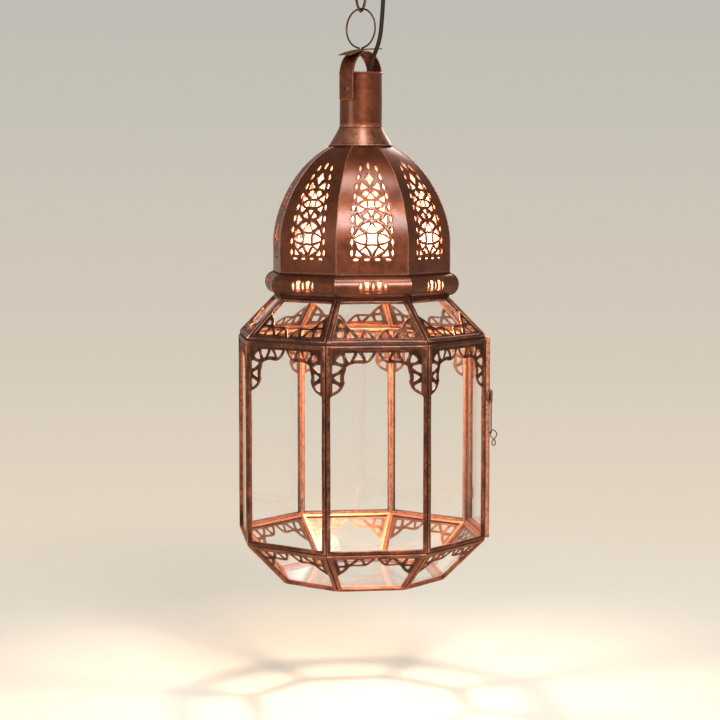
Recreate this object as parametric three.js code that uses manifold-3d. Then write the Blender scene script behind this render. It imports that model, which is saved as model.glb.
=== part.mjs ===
// A hanging lantern of soldered copper and glass, eight-sided, with a pierced dome.
// Millimetres, +Z up. The origin is on the ceiling plane, above the lantern's axis.
// Heights written as "above the eave" are measured from the joint of the roof and the body.

import * as THREE from 'three';
import { mergeVertices } from 'three/addons/utils/BufferGeometryUtils.js';
import Module from 'manifold-3d';

const wasm = await Module();
wasm.setup();

// ---- Driving dimensions ----------------------------------------------------------------

const GAP = 0.3;                    // between neighbouring pieces
const SIDES = 8;
const SECTOR = (2 * Math.PI) / SIDES;
const HALF_SECTOR = SECTOR / 2;

const EAVE_DROP = 420;              // the eave below the ceiling

// Corner radii and heights above the eave of the glazed cage.
const EAVE = { r: 135, z: 0 };
const BODY_FOOT = { r: 135, z: -213.3 };
const BASE_FOOT = { r: 89.4, z: -258.8 };
const ROOF_HEAD = { r: 93.3, z: 41.7 };

const CAME = 4.8;                   // face width of the came round each pane
const CAME_DEPTH = 3.2;
const REBATE = 4.2;                 // inset of the rebate that holds the pane
const LACE_THICK = 0.9;
const PANE_THICK = 1.9;
const PANE_BEHIND = LACE_THICK + GAP;
const LEDGE = 2.5;                  // thickness of the ledge under the floor pane
const FAR_IN = 9;                   // depth that a cutter reaches behind a face

const CORNICE = { foot: 42.9, head: 65, seat: 95, bulge: 11.2, wall: 1.2 };
const SLOT = { count: 5, pitch: 5.6, width: 2.6, height: 10.5 };

const DOME = { foot: 65.3, shoulder: 97.6, rise: 106.5, power: 1.72, r: 96, head: 196.8, wall: 1.2 };

const NECK = { foot: 218, head: 273.5, r: 22.1, wall: 1.1, bead: 0.8 };
const COLLAR = { foot: 197.1, head: 217.7, rFoot: 33, wall: 1.2 };

const BAIL = { turn: Math.PI / 4, r: 24.8, thick: 1.6, width: 18, foot: 244, spring: 270.5 };
const STRIP = { length: 56, thick: 1.2, tilt: (9 * Math.PI) / 180 };
const BAIL_HOLE_R = 3.4;
const RIVET = { z: 255, shank: 1.4, hole: 1.8, head: 3.1, headThick: 1.3 };

// The ring, the hook and the cord share one upright plane through the axis.
const HANG_TURN = (-53 * Math.PI) / 180;
const RING = { r: 20.2, wire: 0.95, top: 339.1 };
const LINK = { wire: 1.4, halfWidth: 6.7, halfHeight: 17 };
const HOOK = { wire: 2, r: 10 };
const CORD = { r: 2.2, reach: 33 };

const CANOPY = { r: 55, depth: 24, wall: 1.2 };
const PLATE = {
  r: 40, thick: 3, floor: 1.2, bossR: 6.5, bossDepth: 9, boreR: 2.5, screwR: 2.5, screwAt: 28,
};
const GRIP = { rHead: 7, rMouth: 4, stemR: 3.8, nutR: 6.5, nut: 3 };

const HOLDER = { head: 184.5, foot: 134, r: 19, boreR: 14.6, boreHead: 160 };
const BRIDGE = { z: 185, thick: 1.5, width: 14, halfLength: 44 };
const BULB = { r: 30, centre: 87.5, capR: 13.2, capHead: 158, wall: 1 };

const DOOR_FACE = 2;
const DOOR = { halfWidth: 50.5, margin: 1.5, back: 0.3, front: 4.2, stile: 5.5, laceBack: 3.5 };
const HINGE = {
  u: 53.5, w: 2.4, barrelR: 2.3, boreR: 1.35, pinR: 1, headR: 1.9, headThick: 1.3, knuckle: 4.7, outer: 10,
};
const HINGE_HEIGHTS = [35, 178];    // above the foot of the body
const CLIP = { u: -47.2, width: 7, thick: 2.4, top: -55.6, foot: -70.3, stripFoot: -102, strip: 0.8 };
const PULL = { wire: 0.6, holeR: 1.45, z: -99.4 };

const LINK_FOOT = RING.top - RING.wire - LINK.wire - GAP;
const LINK_HEAD = LINK_FOOT + 2 * LINK.halfHeight;
const HOOK_FOOT = LINK_HEAD - LINK.wire - HOOK.wire - GAP;
const CANOPY_FOOT = EAVE_DROP - CANOPY.depth;

// ---- Materials -------------------------------------------------------------------------

function finish(color, roughness, metalness) {
  return new THREE.MeshStandardMaterial({ color, roughness, metalness });
}

const copper = finish(0x7a4630, 0.45, 1);
const darkCopper = finish(0x4a2c20, 0.55, 1);
const bronze = finish(0x3a2a22, 0.5, 1);
const glass = finish(0xeaf2f0, 0.05, 0);
glass.transparent = true;
glass.opacity = 0.25;
const opal = finish(0xfff0d8, 0.3, 0);
const ceramic = finish(0xe9e4da, 0.4, 0);
const cable = finish(0x1d1512, 0.6, 0);

// ---- Solids ----------------------------------------------------------------------------

function toSolid(geometry) {
  const bare = geometry.clone();
  bare.deleteAttribute('normal');
  bare.deleteAttribute('uv');
  const merged = mergeVertices(bare, 1e-4);
  const triVerts = new Uint32Array(merged.index.array);
  const vertProperties = new Float32Array(merged.attributes.position.array);
  return new wasm.Manifold(new wasm.Mesh({ numProp: 3, vertProperties, triVerts }));
}

function toGeometry(solid) {
  const mesh = solid.getMesh();
  const geometry = new THREE.BufferGeometry();
  geometry.setAttribute('position', new THREE.BufferAttribute(mesh.vertProperties, 3));
  geometry.setIndex(new THREE.BufferAttribute(mesh.triVerts, 1));
  geometry.computeVertexNormals();
  return geometry;
}

function union(solids) {
  return solids.reduce((whole, solid) => whole.add(solid));
}

function cut(solid, tools) {
  return tools.reduce((left, tool) => left.subtract(tool), solid);
}

function boxSolid(low, high) {
  const size = high.map((value, axis) => value - low[axis]);
  const geometry = new THREE.BoxGeometry(...size);
  geometry.translate(...high.map((value, axis) => (value + low[axis]) / 2));
  return toSolid(geometry);
}

// A body of revolution about +Z from [radius, height] pairs; a closed profile repeats its start.
function revolve(profile, segments, turn = 0) {
  const points = profile.map(([r, z]) => new THREE.Vector2(r, z));
  const geometry = new THREE.LatheGeometry(points, segments);
  geometry.rotateX(Math.PI / 2);
  geometry.rotateZ(turn);
  return geometry;
}

// An octagonal ring has its corners between the faces, and the first face looks along -Y.
function octagonal(profile) {
  return revolve(profile, SIDES, HALF_SECTOR);
}

function ringProfile(rInner, rOuter, low, high) {
  return [[rOuter, low], [rOuter, high], [rInner, high], [rInner, low], [rOuter, low]];
}

function outline(points) {
  return new THREE.Shape(points.map(([x, y]) => new THREE.Vector2(x, y)));
}

function prism(shape, low, high) {
  const geometry = new THREE.ExtrudeGeometry(shape, { depth: high - low, bevelEnabled: false });
  geometry.translate(0, 0, low);
  return geometry;
}

function wire(points, radius, sides, steps) {
  const section = new THREE.Shape();
  section.absarc(0, 0, radius, 0, 2 * Math.PI);
  const path = new THREE.CatmullRomCurve3(points, false, 'centripetal');
  const options = { steps, extrudePath: path, curveSegments: sides / 2, bevelEnabled: false };
  return new THREE.ExtrudeGeometry(section, options);
}

// ---- Panels ----------------------------------------------------------------------------

// A panel's own axes: u to the right seen from outside, v up the slope, w out of the face.
function panel(foot, head) {
  const apothemFoot = foot.r * Math.cos(HALF_SECTOR);
  const apothemHead = head.r * Math.cos(HALF_SECTOR);
  const inward = apothemFoot - apothemHead;
  const rise = head.z - foot.z;
  const height = Math.hypot(inward, rise);
  const u = new THREE.Vector3(1, 0, 0);
  const v = new THREE.Vector3(0, inward / height, rise / height);
  const w = new THREE.Vector3().crossVectors(u, v);
  const matrix = new THREE.Matrix4().makeBasis(u, v, w);
  matrix.setPosition(0, -apothemFoot, foot.z);
  const halfFoot = foot.r * Math.sin(HALF_SECTOR);
  const halfHead = head.r * Math.sin(HALF_SECTOR);
  return { matrix, height, halfFoot, halfHead };
}

const ROOF_PANEL = panel(EAVE, ROOF_HEAD);
const BODY_PANEL = panel(BODY_FOOT, EAVE);
const BASE_PANEL = panel(BASE_FOOT, BODY_FOOT);

function turnToFace(face) {
  return new THREE.Matrix4().makeRotationZ(face * SECTOR);
}

function onFace(geometry, side, face) {
  return geometry.applyMatrix4(side.matrix).applyMatrix4(turnToFace(face));
}

// Half the panel's width at height v up its slope, less an inset measured square to its side.
function halfWidthAt(side, v, inset) {
  const lean = (side.halfFoot - side.halfHead) / side.height;
  return side.halfFoot - lean * v - inset * Math.hypot(1, lean);
}

// The panel's outline, brought in by the same distance all round.
function insetOutline(side, inset) {
  const low = inset;
  const high = side.height - inset;
  const foot = halfWidthAt(side, low, inset);
  const head = halfWidthAt(side, high, inset);
  return outline([[-foot, low], [foot, low], [head, high], [-head, high]]);
}

function pane(side) {
  return prism(insetOutline(side, REBATE + GAP), -PANE_BEHIND - PANE_THICK, -PANE_BEHIND);
}

// ---- Lace ------------------------------------------------------------------------------

// Half of each lace: its scalloped edge from the middle outwards, the depth of its tip on
// the came, and its openings. Each point is the distance from the middle and the depth from the bar.
const TALL_LACE = {
  edge: [[0, 0.4], [5, 8.5], [12, 11.4], [24, 11.4], [31, 15], [34.6, 21], [32.2, 28.9], [36, 38.5]],
  tip: 46.6,
  openings: [
    [[3.6, 1.4], [15.7, 1.4], [9.4, 8.6]],
    [[19, 1.4], [32, 1.4], [27.8, 10.2], [20.8, 9.4]],
    [[35, 3.4], [41.6, 9], [32.4, 12]],
    [[44.6, 12.1], [35.4, 15.4], [44, 24]],
    [[44.6, 27.6], [35.2, 31.6], [40.4, 40]],
  ],
};

const LOW_LACE = {
  edge: [[0, 0.4], [6.2, 10.4], [10, 13.8], [24, 13.8], [28.7, 20.9]],
  tip: 30.9,
  openings: [
    [[36.4, 14.6], [29.8, 14.6], [34.2, 22.6]],
    [[27, 11.4], [30.8, 1.4], [20.4, 1.4]],
    [[22.8, 11.6], [13, 11.6], [17.2, 1.8]],
    [[9.8, 10.4], [13.4, 1.4], [4, 1.4]],
  ],
};

// The front opening of a panel whose lace hangs from, or stands on, one of its bars.
function lacedOpening(side, inset, pattern, barAtHead, low, high) {
  const atBar = (depth) => (barAtHead ? side.height - inset - depth : inset + depth);
  const tipAt = atBar(pattern.tip);
  const farAt = barAtHead ? inset : side.height - inset;
  const half = pattern.edge.map(([x, depth]) => [x, atBar(depth)]);
  half.push([halfWidthAt(side, tipAt, inset), tipAt], [halfWidthAt(side, farAt, inset), farAt]);
  const mirrored = half.slice(1).reverse().map(([x, v]) => [-x, v]);
  const tools = [prism(outline([...half, ...mirrored]), low, high)];
  for (const opening of pattern.openings) {
    for (const hand of [1, -1]) {
      tools.push(prism(outline(opening.map(([x, depth]) => [hand * x, atBar(depth)])), low, high));
    }
  }
  return tools;
}

// ---- Cage frames -----------------------------------------------------------------------

const ALL_FACES = [...Array(SIDES).keys()];
const FIXED_FACES = ALL_FACES.filter((face) => face !== DOOR_FACE);

function placedTools(tools, side, face) {
  return tools.map((tool) => toSolid(onFace(tool, side, face)));
}

// An eight-sided shell that follows the panels' slope from one height to another.
function cageShell(foot, head, low, high) {
  const radiusAt = (z) => foot.r + ((head.r - foot.r) * (z - foot.z)) / (head.z - foot.z);
  const slope = Math.hypot(1, ((head.r - foot.r) * Math.cos(HALF_SECTOR)) / (head.z - foot.z));
  const thick = (CAME_DEPTH * slope) / Math.cos(HALF_SECTOR);
  const corners = [[0, low], [0, high], [-thick, high], [-thick, low], [0, low]];
  return toSolid(octagonal(corners.map(([inset, z]) => [radiusAt(z) + inset, z])));
}

// The glass sits in a rebate behind each front opening.
function cutPanels(shell, side, pattern, barAtHead, faces) {
  return faces.reduce((left, face) => {
    const rebate = prism(insetOutline(side, REBATE), -FAR_IN, -LACE_THICK);
    const front = lacedOpening(side, CAME, pattern, barAtHead, -LACE_THICK - 1, 1);
    return cut(left, placedTools([rebate, ...front], side, face));
  }, shell);
}

function roofFrame() {
  const shell = cageShell(EAVE, ROOF_HEAD, EAVE.z + GAP, ROOF_HEAD.z);
  const top = CORNICE.foot - GAP;
  const rim = toSolid(octagonal(ringProfile(ROOF_HEAD.r - 7.5, ROOF_HEAD.r + 2, ROOF_HEAD.z - 1.1, top)));
  return toGeometry(cutPanels(shell, ROOF_PANEL, LOW_LACE, false, ALL_FACES).add(rim));
}

function knuckle(low, high, post) {
  const barrel = revolve([[0, low], [HINGE.barrelR, low], [HINGE.barrelR, high], [0, high]], 10);
  barrel.rotateX(-Math.PI / 2);
  barrel.translate(HINGE.u, 0, HINGE.w);
  const web = post
    ? boxSolid([HINGE.u - 1.1, low, -3.4], [HINGE.u + 1.1, high, HINGE.w])
    : boxSolid([DOOR.halfWidth - 1, low, HINGE.w - 1.1], [HINGE.u, high, HINGE.w + 1.1]);
  return toSolid(barrel).add(web);
}

function hingeBore(centre) {
  const reach = HINGE.outer + 1;
  const bore = revolve([[0, -reach], [HINGE.boreR, -reach], [HINGE.boreR, reach], [0, reach]], 10);
  bore.rotateX(-Math.PI / 2);
  bore.translate(HINGE.u, centre, HINGE.w);
  return toSolid(bore);
}

function doorPlaced(solid) {
  return toSolid(onFace(toGeometry(solid), BODY_PANEL, DOOR_FACE));
}

function fixedKnuckles() {
  const inner = HINGE.knuckle + GAP;
  return HINGE_HEIGHTS.flatMap((at) => [
    doorPlaced(cut(knuckle(at + inner, at + HINGE.outer, true), [hingeBore(at)])),
    doorPlaced(cut(knuckle(at - HINGE.outer, at - inner, true), [hingeBore(at)])),
  ]);
}

function bodyFrame() {
  const shell = cageShell(BODY_FOOT, EAVE, BODY_FOOT.z, EAVE.z);
  const laced = cutPanels(shell, BODY_PANEL, TALL_LACE, true, FIXED_FACES);
  const doorway = prism(insetOutline(BODY_PANEL, CAME), -FAR_IN, 1);
  const open = cut(laced, placedTools([doorway], BODY_PANEL, DOOR_FACE));
  return toGeometry(union([open, ...fixedKnuckles()]));
}

function baseFrame() {
  const shell = cageShell(BASE_FOOT, BODY_FOOT, BASE_FOOT.z, BODY_FOOT.z - GAP);
  const high = BASE_FOOT.z + LEDGE;
  const ledge = toSolid(octagonal(ringProfile(BASE_FOOT.r - 9, BASE_FOOT.r - 2, BASE_FOOT.z, high)));
  return toGeometry(cutPanels(shell, BASE_PANEL, LOW_LACE, true, ALL_FACES).add(ledge));
}

function floorPane() {
  const low = BASE_FOOT.z + LEDGE + GAP;
  const r = BASE_FOOT.r - 3.1;
  return octagonal([[0, low], [r, low], [r, low + PANE_THICK], [0, low + PANE_THICK]]);
}

// ---- Door ------------------------------------------------------------------------------

const DOOR_LEAF = {
  height: BODY_PANEL.height - 2 * DOOR.margin,
  halfFoot: DOOR.halfWidth,
  halfHead: DOOR.halfWidth,
};

function doorFrame() {
  const slab = prism(insetOutline(DOOR_LEAF, 0), DOOR.back, DOOR.front);
  const rebate = prism(insetOutline(DOOR_LEAF, DOOR.stile), DOOR.back - 1, DOOR.laceBack);
  const through = [DOOR.laceBack - 1, DOOR.front + 1];
  const front = lacedOpening(DOOR_LEAF, DOOR.stile + 0.6, TALL_LACE, true, ...through);
  const leaf = toGeometry(cut(toSolid(slab), [rebate, ...front].map(toSolid)));
  leaf.translate(0, DOOR.margin, 0);
  const knuckles = HINGE_HEIGHTS.map((at) => {
    return cut(knuckle(at - HINGE.knuckle, at + HINGE.knuckle, false), [hingeBore(at)]);
  });
  return onFace(toGeometry(union([toSolid(leaf), ...knuckles])), BODY_PANEL, DOOR_FACE);
}

function doorPane() {
  const front = DOOR.laceBack - GAP;
  const leaf = prism(insetOutline(DOOR_LEAF, DOOR.stile + GAP), front - PANE_THICK, front);
  return onFace(leaf.translate(0, DOOR.margin, 0), BODY_PANEL, DOOR_FACE);
}

function hingePin(at) {
  const end = HINGE.outer + 1;
  const headFoot = HINGE.outer + GAP;
  const head = headFoot + HINGE.headThick;
  const profile = [[0, -end], [HINGE.pinR, -end], [HINGE.pinR, headFoot], [HINGE.headR, headFoot],
    [HINGE.headR, head], [0, head]];
  const pin = revolve(profile, 10);
  pin.rotateX(-Math.PI / 2);
  pin.translate(HINGE.u, at, HINGE.w);
  return onFace(pin, BODY_PANEL, DOOR_FACE);
}

// The clip grips the fixed post, and its strip hangs clear of the stile to take the pull loop.
function latchClip() {
  const back = DOOR.front + GAP;
  const front = back + CLIP.thick;
  const floor = BODY_PANEL.height;
  const half = CLIP.width / 2;
  const left = -DOOR.halfWidth - GAP - 1;
  const block = boxSolid([left, floor + CLIP.foot, back], [CLIP.u + half, floor + CLIP.top, front]);
  const tab = boxSolid([left, floor + CLIP.foot + 3, 0.6], [left + 1, floor + CLIP.top - 3, front]);
  const strip = boxSolid(
    [CLIP.u - 2.2, floor + CLIP.stripFoot, front - CLIP.strip],
    [CLIP.u + 2.2, floor + CLIP.foot + 1, front],
  );
  const hole = new THREE.CylinderGeometry(PULL.holeR, PULL.holeR, 6, 10);
  hole.rotateX(Math.PI / 2);
  hole.translate(CLIP.u, floor + PULL.z, front);
  const solid = cut(union([block, tab, strip]), [toSolid(hole)]);
  return onFace(toGeometry(solid), BODY_PANEL, DOOR_FACE);
}

// Distance out from the loop's inner leg, and drop below the strip's hole.
const PULL_SHAPE = [[0.4, 1], [1.3, 0], [3, 0.1], [5.4, 2.4], [6.6, 6.6], [5.6, 11.6], [3.4, 15],
  [1.2, 12.6], [0, 8], [0, 4]];

function pullLoop() {
  const front = DOOR.front + GAP + CLIP.thick;
  const inner = front - CLIP.strip - GAP - PULL.wire;
  const top = BODY_PANEL.height + PULL.z;
  const points = PULL_SHAPE.map(([out, drop]) => new THREE.Vector3(CLIP.u, top - drop, inner + out));
  const path = new THREE.CatmullRomCurve3(points, true);
  return onFace(new THREE.TubeGeometry(path, 26, PULL.wire, 6, true), BODY_PANEL, DOOR_FACE);
}

// ---- Dome and cornice ------------------------------------------------------------------

function cornice() {
  const middle = (CORNICE.foot + CORNICE.head) / 2;
  const halfHeight = (CORNICE.head - CORNICE.foot) / 2;
  const steps = 4;
  const arc = (shrink) => {
    const points = [];
    for (let i = 0; i <= steps; i += 1) {
      const angle = -Math.PI / 2 + (Math.PI * i) / steps;
      const r = CORNICE.seat + (CORNICE.bulge - shrink) * Math.cos(angle);
      points.push([r, middle + (halfHeight - shrink) * Math.sin(angle)]);
    }
    return points;
  };
  const outer = arc(0);
  const shell = toSolid(octagonal([...outer, ...arc(CORNICE.wall).reverse(), outer[0]]));
  const slots = [];
  for (const face of ALL_FACES) {
    for (let i = 0; i < SLOT.count; i += 1) {
      const u = (i - (SLOT.count - 1) / 2) * SLOT.pitch;
      const slot = new THREE.BoxGeometry(SLOT.width, 12, SLOT.height);
      slot.translate(u, -CORNICE.seat, middle);
      slots.push(toSolid(slot.applyMatrix4(turnToFace(face))));
    }
  }
  return toGeometry(cut(shell, slots));
}

function domeRadius(z) {
  const climb = Math.max(0, (z - DOME.shoulder) / DOME.rise);
  return DOME.r * Math.sqrt(1 - climb ** DOME.power);
}

// One gore: a strip that is flat across and curves upwards, mitred to its neighbours.
function goreShell() {
  const heights = [DOME.foot, DOME.shoulder, 120, 139, 155, 169, 180, 189, DOME.head];
  const positions = [];
  const slope = Math.tan(HALF_SECTOR);
  for (const z of heights) {
    const outer = domeRadius(z) * Math.cos(HALF_SECTOR);
    const inner = outer - DOME.wall;
    const trim = GAP / 2 / Math.cos(HALF_SECTOR);
    positions.push(-outer * slope + trim, -outer, z, outer * slope - trim, -outer, z);
    positions.push(inner * slope - trim, -inner, z, -inner * slope + trim, -inner, z);
  }
  const index = [];
  const corners = 4;
  const quad = (a, b, c, d) => index.push(a, b, c, a, c, d);
  for (let level = 0; level < heights.length - 1; level += 1) {
    for (let side = 0; side < corners; side += 1) {
      const next = (side + 1) % corners;
      const low = level * corners;
      quad(low + side, low + next, low + corners + next, low + corners + side);
    }
  }
  const top = (heights.length - 1) * corners;
  quad(3, 2, 1, 0);
  quad(top, top + 1, top + 2, top + 3);
  const geometry = new THREE.BufferGeometry();
  geometry.setAttribute('position', new THREE.Float32BufferAttribute(positions, 3));
  geometry.setIndex(index);
  return toSolid(geometry);
}

// Half width, half height and height of the openings up the middle of a gore.
const MIDDLE_PIERCING = [[9.5, 11, 95], [8.5, 10, 119], [7, 8.5, 140], [4.5, 7, 158]];
// Distance from the middle and height of the openings on each side.
const SIDE_PIERCING = [[18, 107], [15.4, 129.5], [11.6, 150]];
const SIDE_OPENING = { halfWidth: 3.4, halfHeight: 8.5 };

function diamond(x, z, halfWidth, halfHeight) {
  const corners = [[x - halfWidth, z], [x, z - halfHeight], [x + halfWidth, z], [x, z + halfHeight]];
  const geometry = prism(outline(corners), 0, DOME.r + 5);
  geometry.rotateX(Math.PI / 2);
  return toSolid(geometry);
}

function goreTemplate() {
  const tools = MIDDLE_PIERCING.map(([halfWidth, halfHeight, z]) => diamond(0, z, halfWidth, halfHeight));
  for (const [x, z] of SIDE_PIERCING) {
    tools.push(diamond(x, z, SIDE_OPENING.halfWidth, SIDE_OPENING.halfHeight));
    tools.push(diamond(-x, z, SIDE_OPENING.halfWidth, SIDE_OPENING.halfHeight));
  }
  return toGeometry(cut(goreShell(), tools));
}

// ---- Neck and bail ---------------------------------------------------------------------

function collar() {
  const rise = COLLAR.head - COLLAR.foot;
  const steps = 3;
  const flare = (inset) => {
    const points = [];
    for (let i = 0; i <= steps; i += 1) {
      const climb = i / steps;
      const r = NECK.r + 0.4 + (COLLAR.rFoot - NECK.r - 0.4) * (1 - climb) ** 1.7 - inset;
      points.push([r, COLLAR.foot + rise * climb]);
    }
    return points;
  };
  const outer = flare(0);
  return revolve([...outer, ...flare(COLLAR.wall).reverse(), outer[0]], 20);
}

function radialTool(radius, z, low, high) {
  const geometry = new THREE.CylinderGeometry(radius, radius, high - low, 10);
  geometry.rotateZ(Math.PI / 2);
  geometry.translate((high + low) / 2, 0, z);
  return geometry;
}

function rivetHoles() {
  return [0, 1].map((side) => {
    const hole = radialTool(RIVET.hole, RIVET.z, 10, 40);
    return toSolid(hole.rotateZ(BAIL.turn + side * Math.PI));
  });
}

function neckTube() {
  const inner = NECK.r - NECK.wall;
  const bead = NECK.r + NECK.bead;
  const { foot, head, r } = NECK;
  const profile = [[r, foot], [r, head - 2], [bead, head - 1.5], [bead, head - 0.5], [r, head],
    [inner, head], [inner, foot], [r, foot]];
  return toGeometry(cut(toSolid(revolve(profile, 20)), rivetHoles()));
}

function bailHole() {
  const hole = new THREE.CylinderGeometry(BAIL_HOLE_R, BAIL_HOLE_R, 20, 14);
  hole.rotateX(Math.PI / 2);
  hole.translate(0, 0, BAIL.spring + BAIL.r);
  return toSolid(hole);
}

function bailStrap() {
  const inner = BAIL.r - BAIL.thick;
  const shape = new THREE.Shape();
  shape.moveTo(BAIL.r, BAIL.foot);
  shape.lineTo(BAIL.r, BAIL.spring);
  shape.absarc(0, BAIL.spring, BAIL.r, 0, Math.PI, false);
  shape.lineTo(-BAIL.r, BAIL.foot);
  shape.lineTo(-inner, BAIL.foot);
  shape.lineTo(-inner, BAIL.spring);
  shape.absarc(0, BAIL.spring, inner, Math.PI, 0, true);
  shape.lineTo(inner, BAIL.foot);
  const options = { depth: BAIL.width, bevelEnabled: false, curveSegments: 10 };
  const strap = new THREE.ExtrudeGeometry(shape, options);
  strap.translate(0, 0, -BAIL.width / 2);
  strap.rotateX(Math.PI / 2);
  strap.rotateZ(BAIL.turn);
  return toGeometry(cut(toSolid(strap), [bailHole(), ...rivetHoles()]));
}

function bailStrip() {
  const strip = new THREE.BoxGeometry(STRIP.length, BAIL.width, STRIP.thick);
  strip.rotateY(-STRIP.tilt);
  const lift = (BAIL.r + GAP + STRIP.thick / 2) / Math.cos(STRIP.tilt);
  strip.translate(0, 0, BAIL.spring + lift);
  strip.rotateZ(BAIL.turn);
  return toGeometry(cut(toSolid(strip), [bailHole()]));
}

function bailRivet(side) {
  const inside = NECK.r - NECK.wall - GAP;
  const outside = BAIL.r + GAP;
  const profile = [[0, inside - 1], [2.4, inside - 1], [2.4, inside], [RIVET.shank, inside],
    [RIVET.shank, outside], [RIVET.head, outside], [RIVET.head * 0.8, outside + RIVET.headThick * 0.7],
    [0, outside + RIVET.headThick]];
  const rivet = revolve(profile, 10);
  rivet.rotateY(Math.PI / 2);
  rivet.translate(0, 0, RIVET.z);
  rivet.rotateZ(BAIL.turn + side * Math.PI);
  return rivet;
}

// ---- Hanging gear ----------------------------------------------------------------------

// A point of the upright plane that holds the ring, the hook and the cord.
function inHangPlane(reach, z) {
  return new THREE.Vector3(reach * Math.cos(HANG_TURN), reach * Math.sin(HANG_TURN), z);
}

function hangingRing() {
  const centre = RING.top - RING.r;
  const feet = [[4.6, 290.2], [2.2, 291], [1.4, 293.2], [1.4, 296.4], [2.4, 298.6]];
  const points = feet.map(([x, z]) => inHangPlane(x, z));
  const count = 13;
  for (let i = 0; i < count; i += 1) {
    const angle = -Math.PI / 2 + ((i + 0.6) / (count + 0.2)) * 2 * Math.PI;
    points.push(inHangPlane(RING.r * Math.cos(angle), centre + RING.r * Math.sin(angle)));
  }
  points.push(...feet.reverse().map(([x, z]) => inHangPlane(-x, z)));
  return wire(points, RING.wire, 6, 44);
}

function chainLink() {
  const across = HANG_TURN + Math.PI / 2;
  const centre = LINK_FOOT + LINK.halfHeight;
  const points = [];
  const count = 12;
  for (let i = 0; i < count; i += 1) {
    const angle = (2 * Math.PI * i) / count;
    const x = LINK.halfWidth * Math.cos(angle);
    const z = centre + LINK.halfHeight * Math.sin(angle);
    points.push(new THREE.Vector3(x * Math.cos(across), x * Math.sin(across), z));
  }
  const path = new THREE.CatmullRomCurve3(points, true);
  return new THREE.TubeGeometry(path, 28, LINK.wire, 8, true);
}

function ceilingHook() {
  const centre = HOOK_FOOT + HOOK.r;
  const shankHead = EAVE_DROP - PLATE.thick + 1;
  const neck = inHangPlane(-1.6, centre + HOOK.r + 1);
  const points = [inHangPlane(0, shankHead), inHangPlane(0, CANOPY_FOOT - 2), neck];
  const count = 9;
  for (let i = 0; i < count; i += 1) {
    const angle = Math.PI * 0.78 + (i / (count - 1)) * Math.PI * 1.42;
    points.push(inHangPlane(HOOK.r * Math.cos(angle), centre + HOOK.r * Math.sin(angle)));
  }
  return wire(points, HOOK.wire, 8, 26);
}

function ceilingPlate() {
  const low = EAVE_DROP - PLATE.thick;
  const boss = EAVE_DROP - PLATE.bossDepth;
  const boreHead = EAVE_DROP - PLATE.floor;
  const profile = [[0, boreHead], [PLATE.boreR, boreHead], [PLATE.boreR, boss], [PLATE.bossR, boss],
    [PLATE.bossR, low], [PLATE.r, low], [PLATE.r, EAVE_DROP], [0, EAVE_DROP]];
  const screws = [1, -1].map((side) => {
    const hole = new THREE.CylinderGeometry(PLATE.screwR, PLATE.screwR, 20, 12);
    hole.rotateX(Math.PI / 2);
    hole.translate(side * PLATE.screwAt, 0, EAVE_DROP);
    return toSolid(hole);
  });
  return toGeometry(cut(toSolid(revolve(profile, 20)), screws));
}

function uprightTool(radius, reach) {
  const hole = new THREE.CylinderGeometry(radius, radius, 20, 12);
  hole.rotateX(Math.PI / 2);
  const at = inHangPlane(reach, CANOPY_FOOT);
  hole.translate(at.x, at.y, at.z);
  return toSolid(hole);
}

function ceilingCanopy() {
  const { r, wall } = CANOPY;
  const foot = CANOPY_FOOT;
  const profile = [[0, foot], [r - 12, foot], [r - 6, foot + 3.5], [r - 1.5, foot + 11], [r, EAVE_DROP],
    [r - wall, EAVE_DROP], [r - wall - 1.5, foot + 11.6], [r - wall - 6, foot + 4.6],
    [r - wall - 12, foot + wall], [0, foot + wall]];
  const hookHole = uprightTool(HOOK.wire + 0.5, 0);
  const gripHole = uprightTool(GRIP.stemR + 0.4, CORD.reach);
  return toGeometry(cut(toSolid(revolve(profile, 24)), [hookHole, gripHole]));
}

// The cord grip's mouth is level with the hook's seat, on the line about which the link swings.
function cordGrip() {
  const foot = HOOK_FOOT;
  const head = CANOPY_FOOT - GAP;
  const above = CANOPY_FOOT + CANOPY.wall + GAP;
  const profile = [[0, foot], [GRIP.rMouth, foot], [GRIP.rMouth + 0.8, foot + 12], [GRIP.rHead, foot + 18],
    [GRIP.rHead, head], [GRIP.stemR, head], [GRIP.stemR, above], [GRIP.nutR, above],
    [GRIP.nutR, above + GRIP.nut], [0, above + GRIP.nut]];
  const grip = revolve(profile, 16);
  const at = inHangPlane(CORD.reach, 0);
  return grip.translate(at.x, at.y, 0);
}

// Reach from the axis and height above the eave, from the grip's mouth to the lampholder.
const CORD_ROUTE = [[CORD.reach, HOOK_FOOT - GAP], [33, 358], [33, 349], [32.2, 338], [30.9, 325],
  [28.8, 311], [25, 300], [19.6, 290], [14.8, 281], [10.4, 271], [6.6, 261], [3.6, 250], [1.4, 238],
  [0.3, 226], [0, 214], [0, 202], [0, HOLDER.head + GAP]];

function cord() {
  const points = CORD_ROUTE.map(([reach, z]) => inHangPlane(reach, z));
  return wire(points, CORD.r, 8, 34);
}

// ---- Lamp ------------------------------------------------------------------------------

function holderBridge() {
  const { z, thick, width, halfLength } = BRIDGE;
  const strap = boxSolid([-halfLength, -width / 2, z], [halfLength, width / 2, z + thick]);
  const hole = new THREE.CylinderGeometry(5, 5, 10, 12);
  hole.rotateX(Math.PI / 2);
  hole.translate(0, 0, z);
  return toGeometry(cut(strap, [toSolid(hole)]));
}

function lampholder() {
  const { head, foot, r, boreR, boreHead } = HOLDER;
  return revolve([[0, boreHead], [boreR, boreHead], [boreR, foot], [r, foot], [r, head - 14.5],
    [r - 3, head - 8.5], [10, head - 3.5], [8, head], [0, head]], 16);
}

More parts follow.
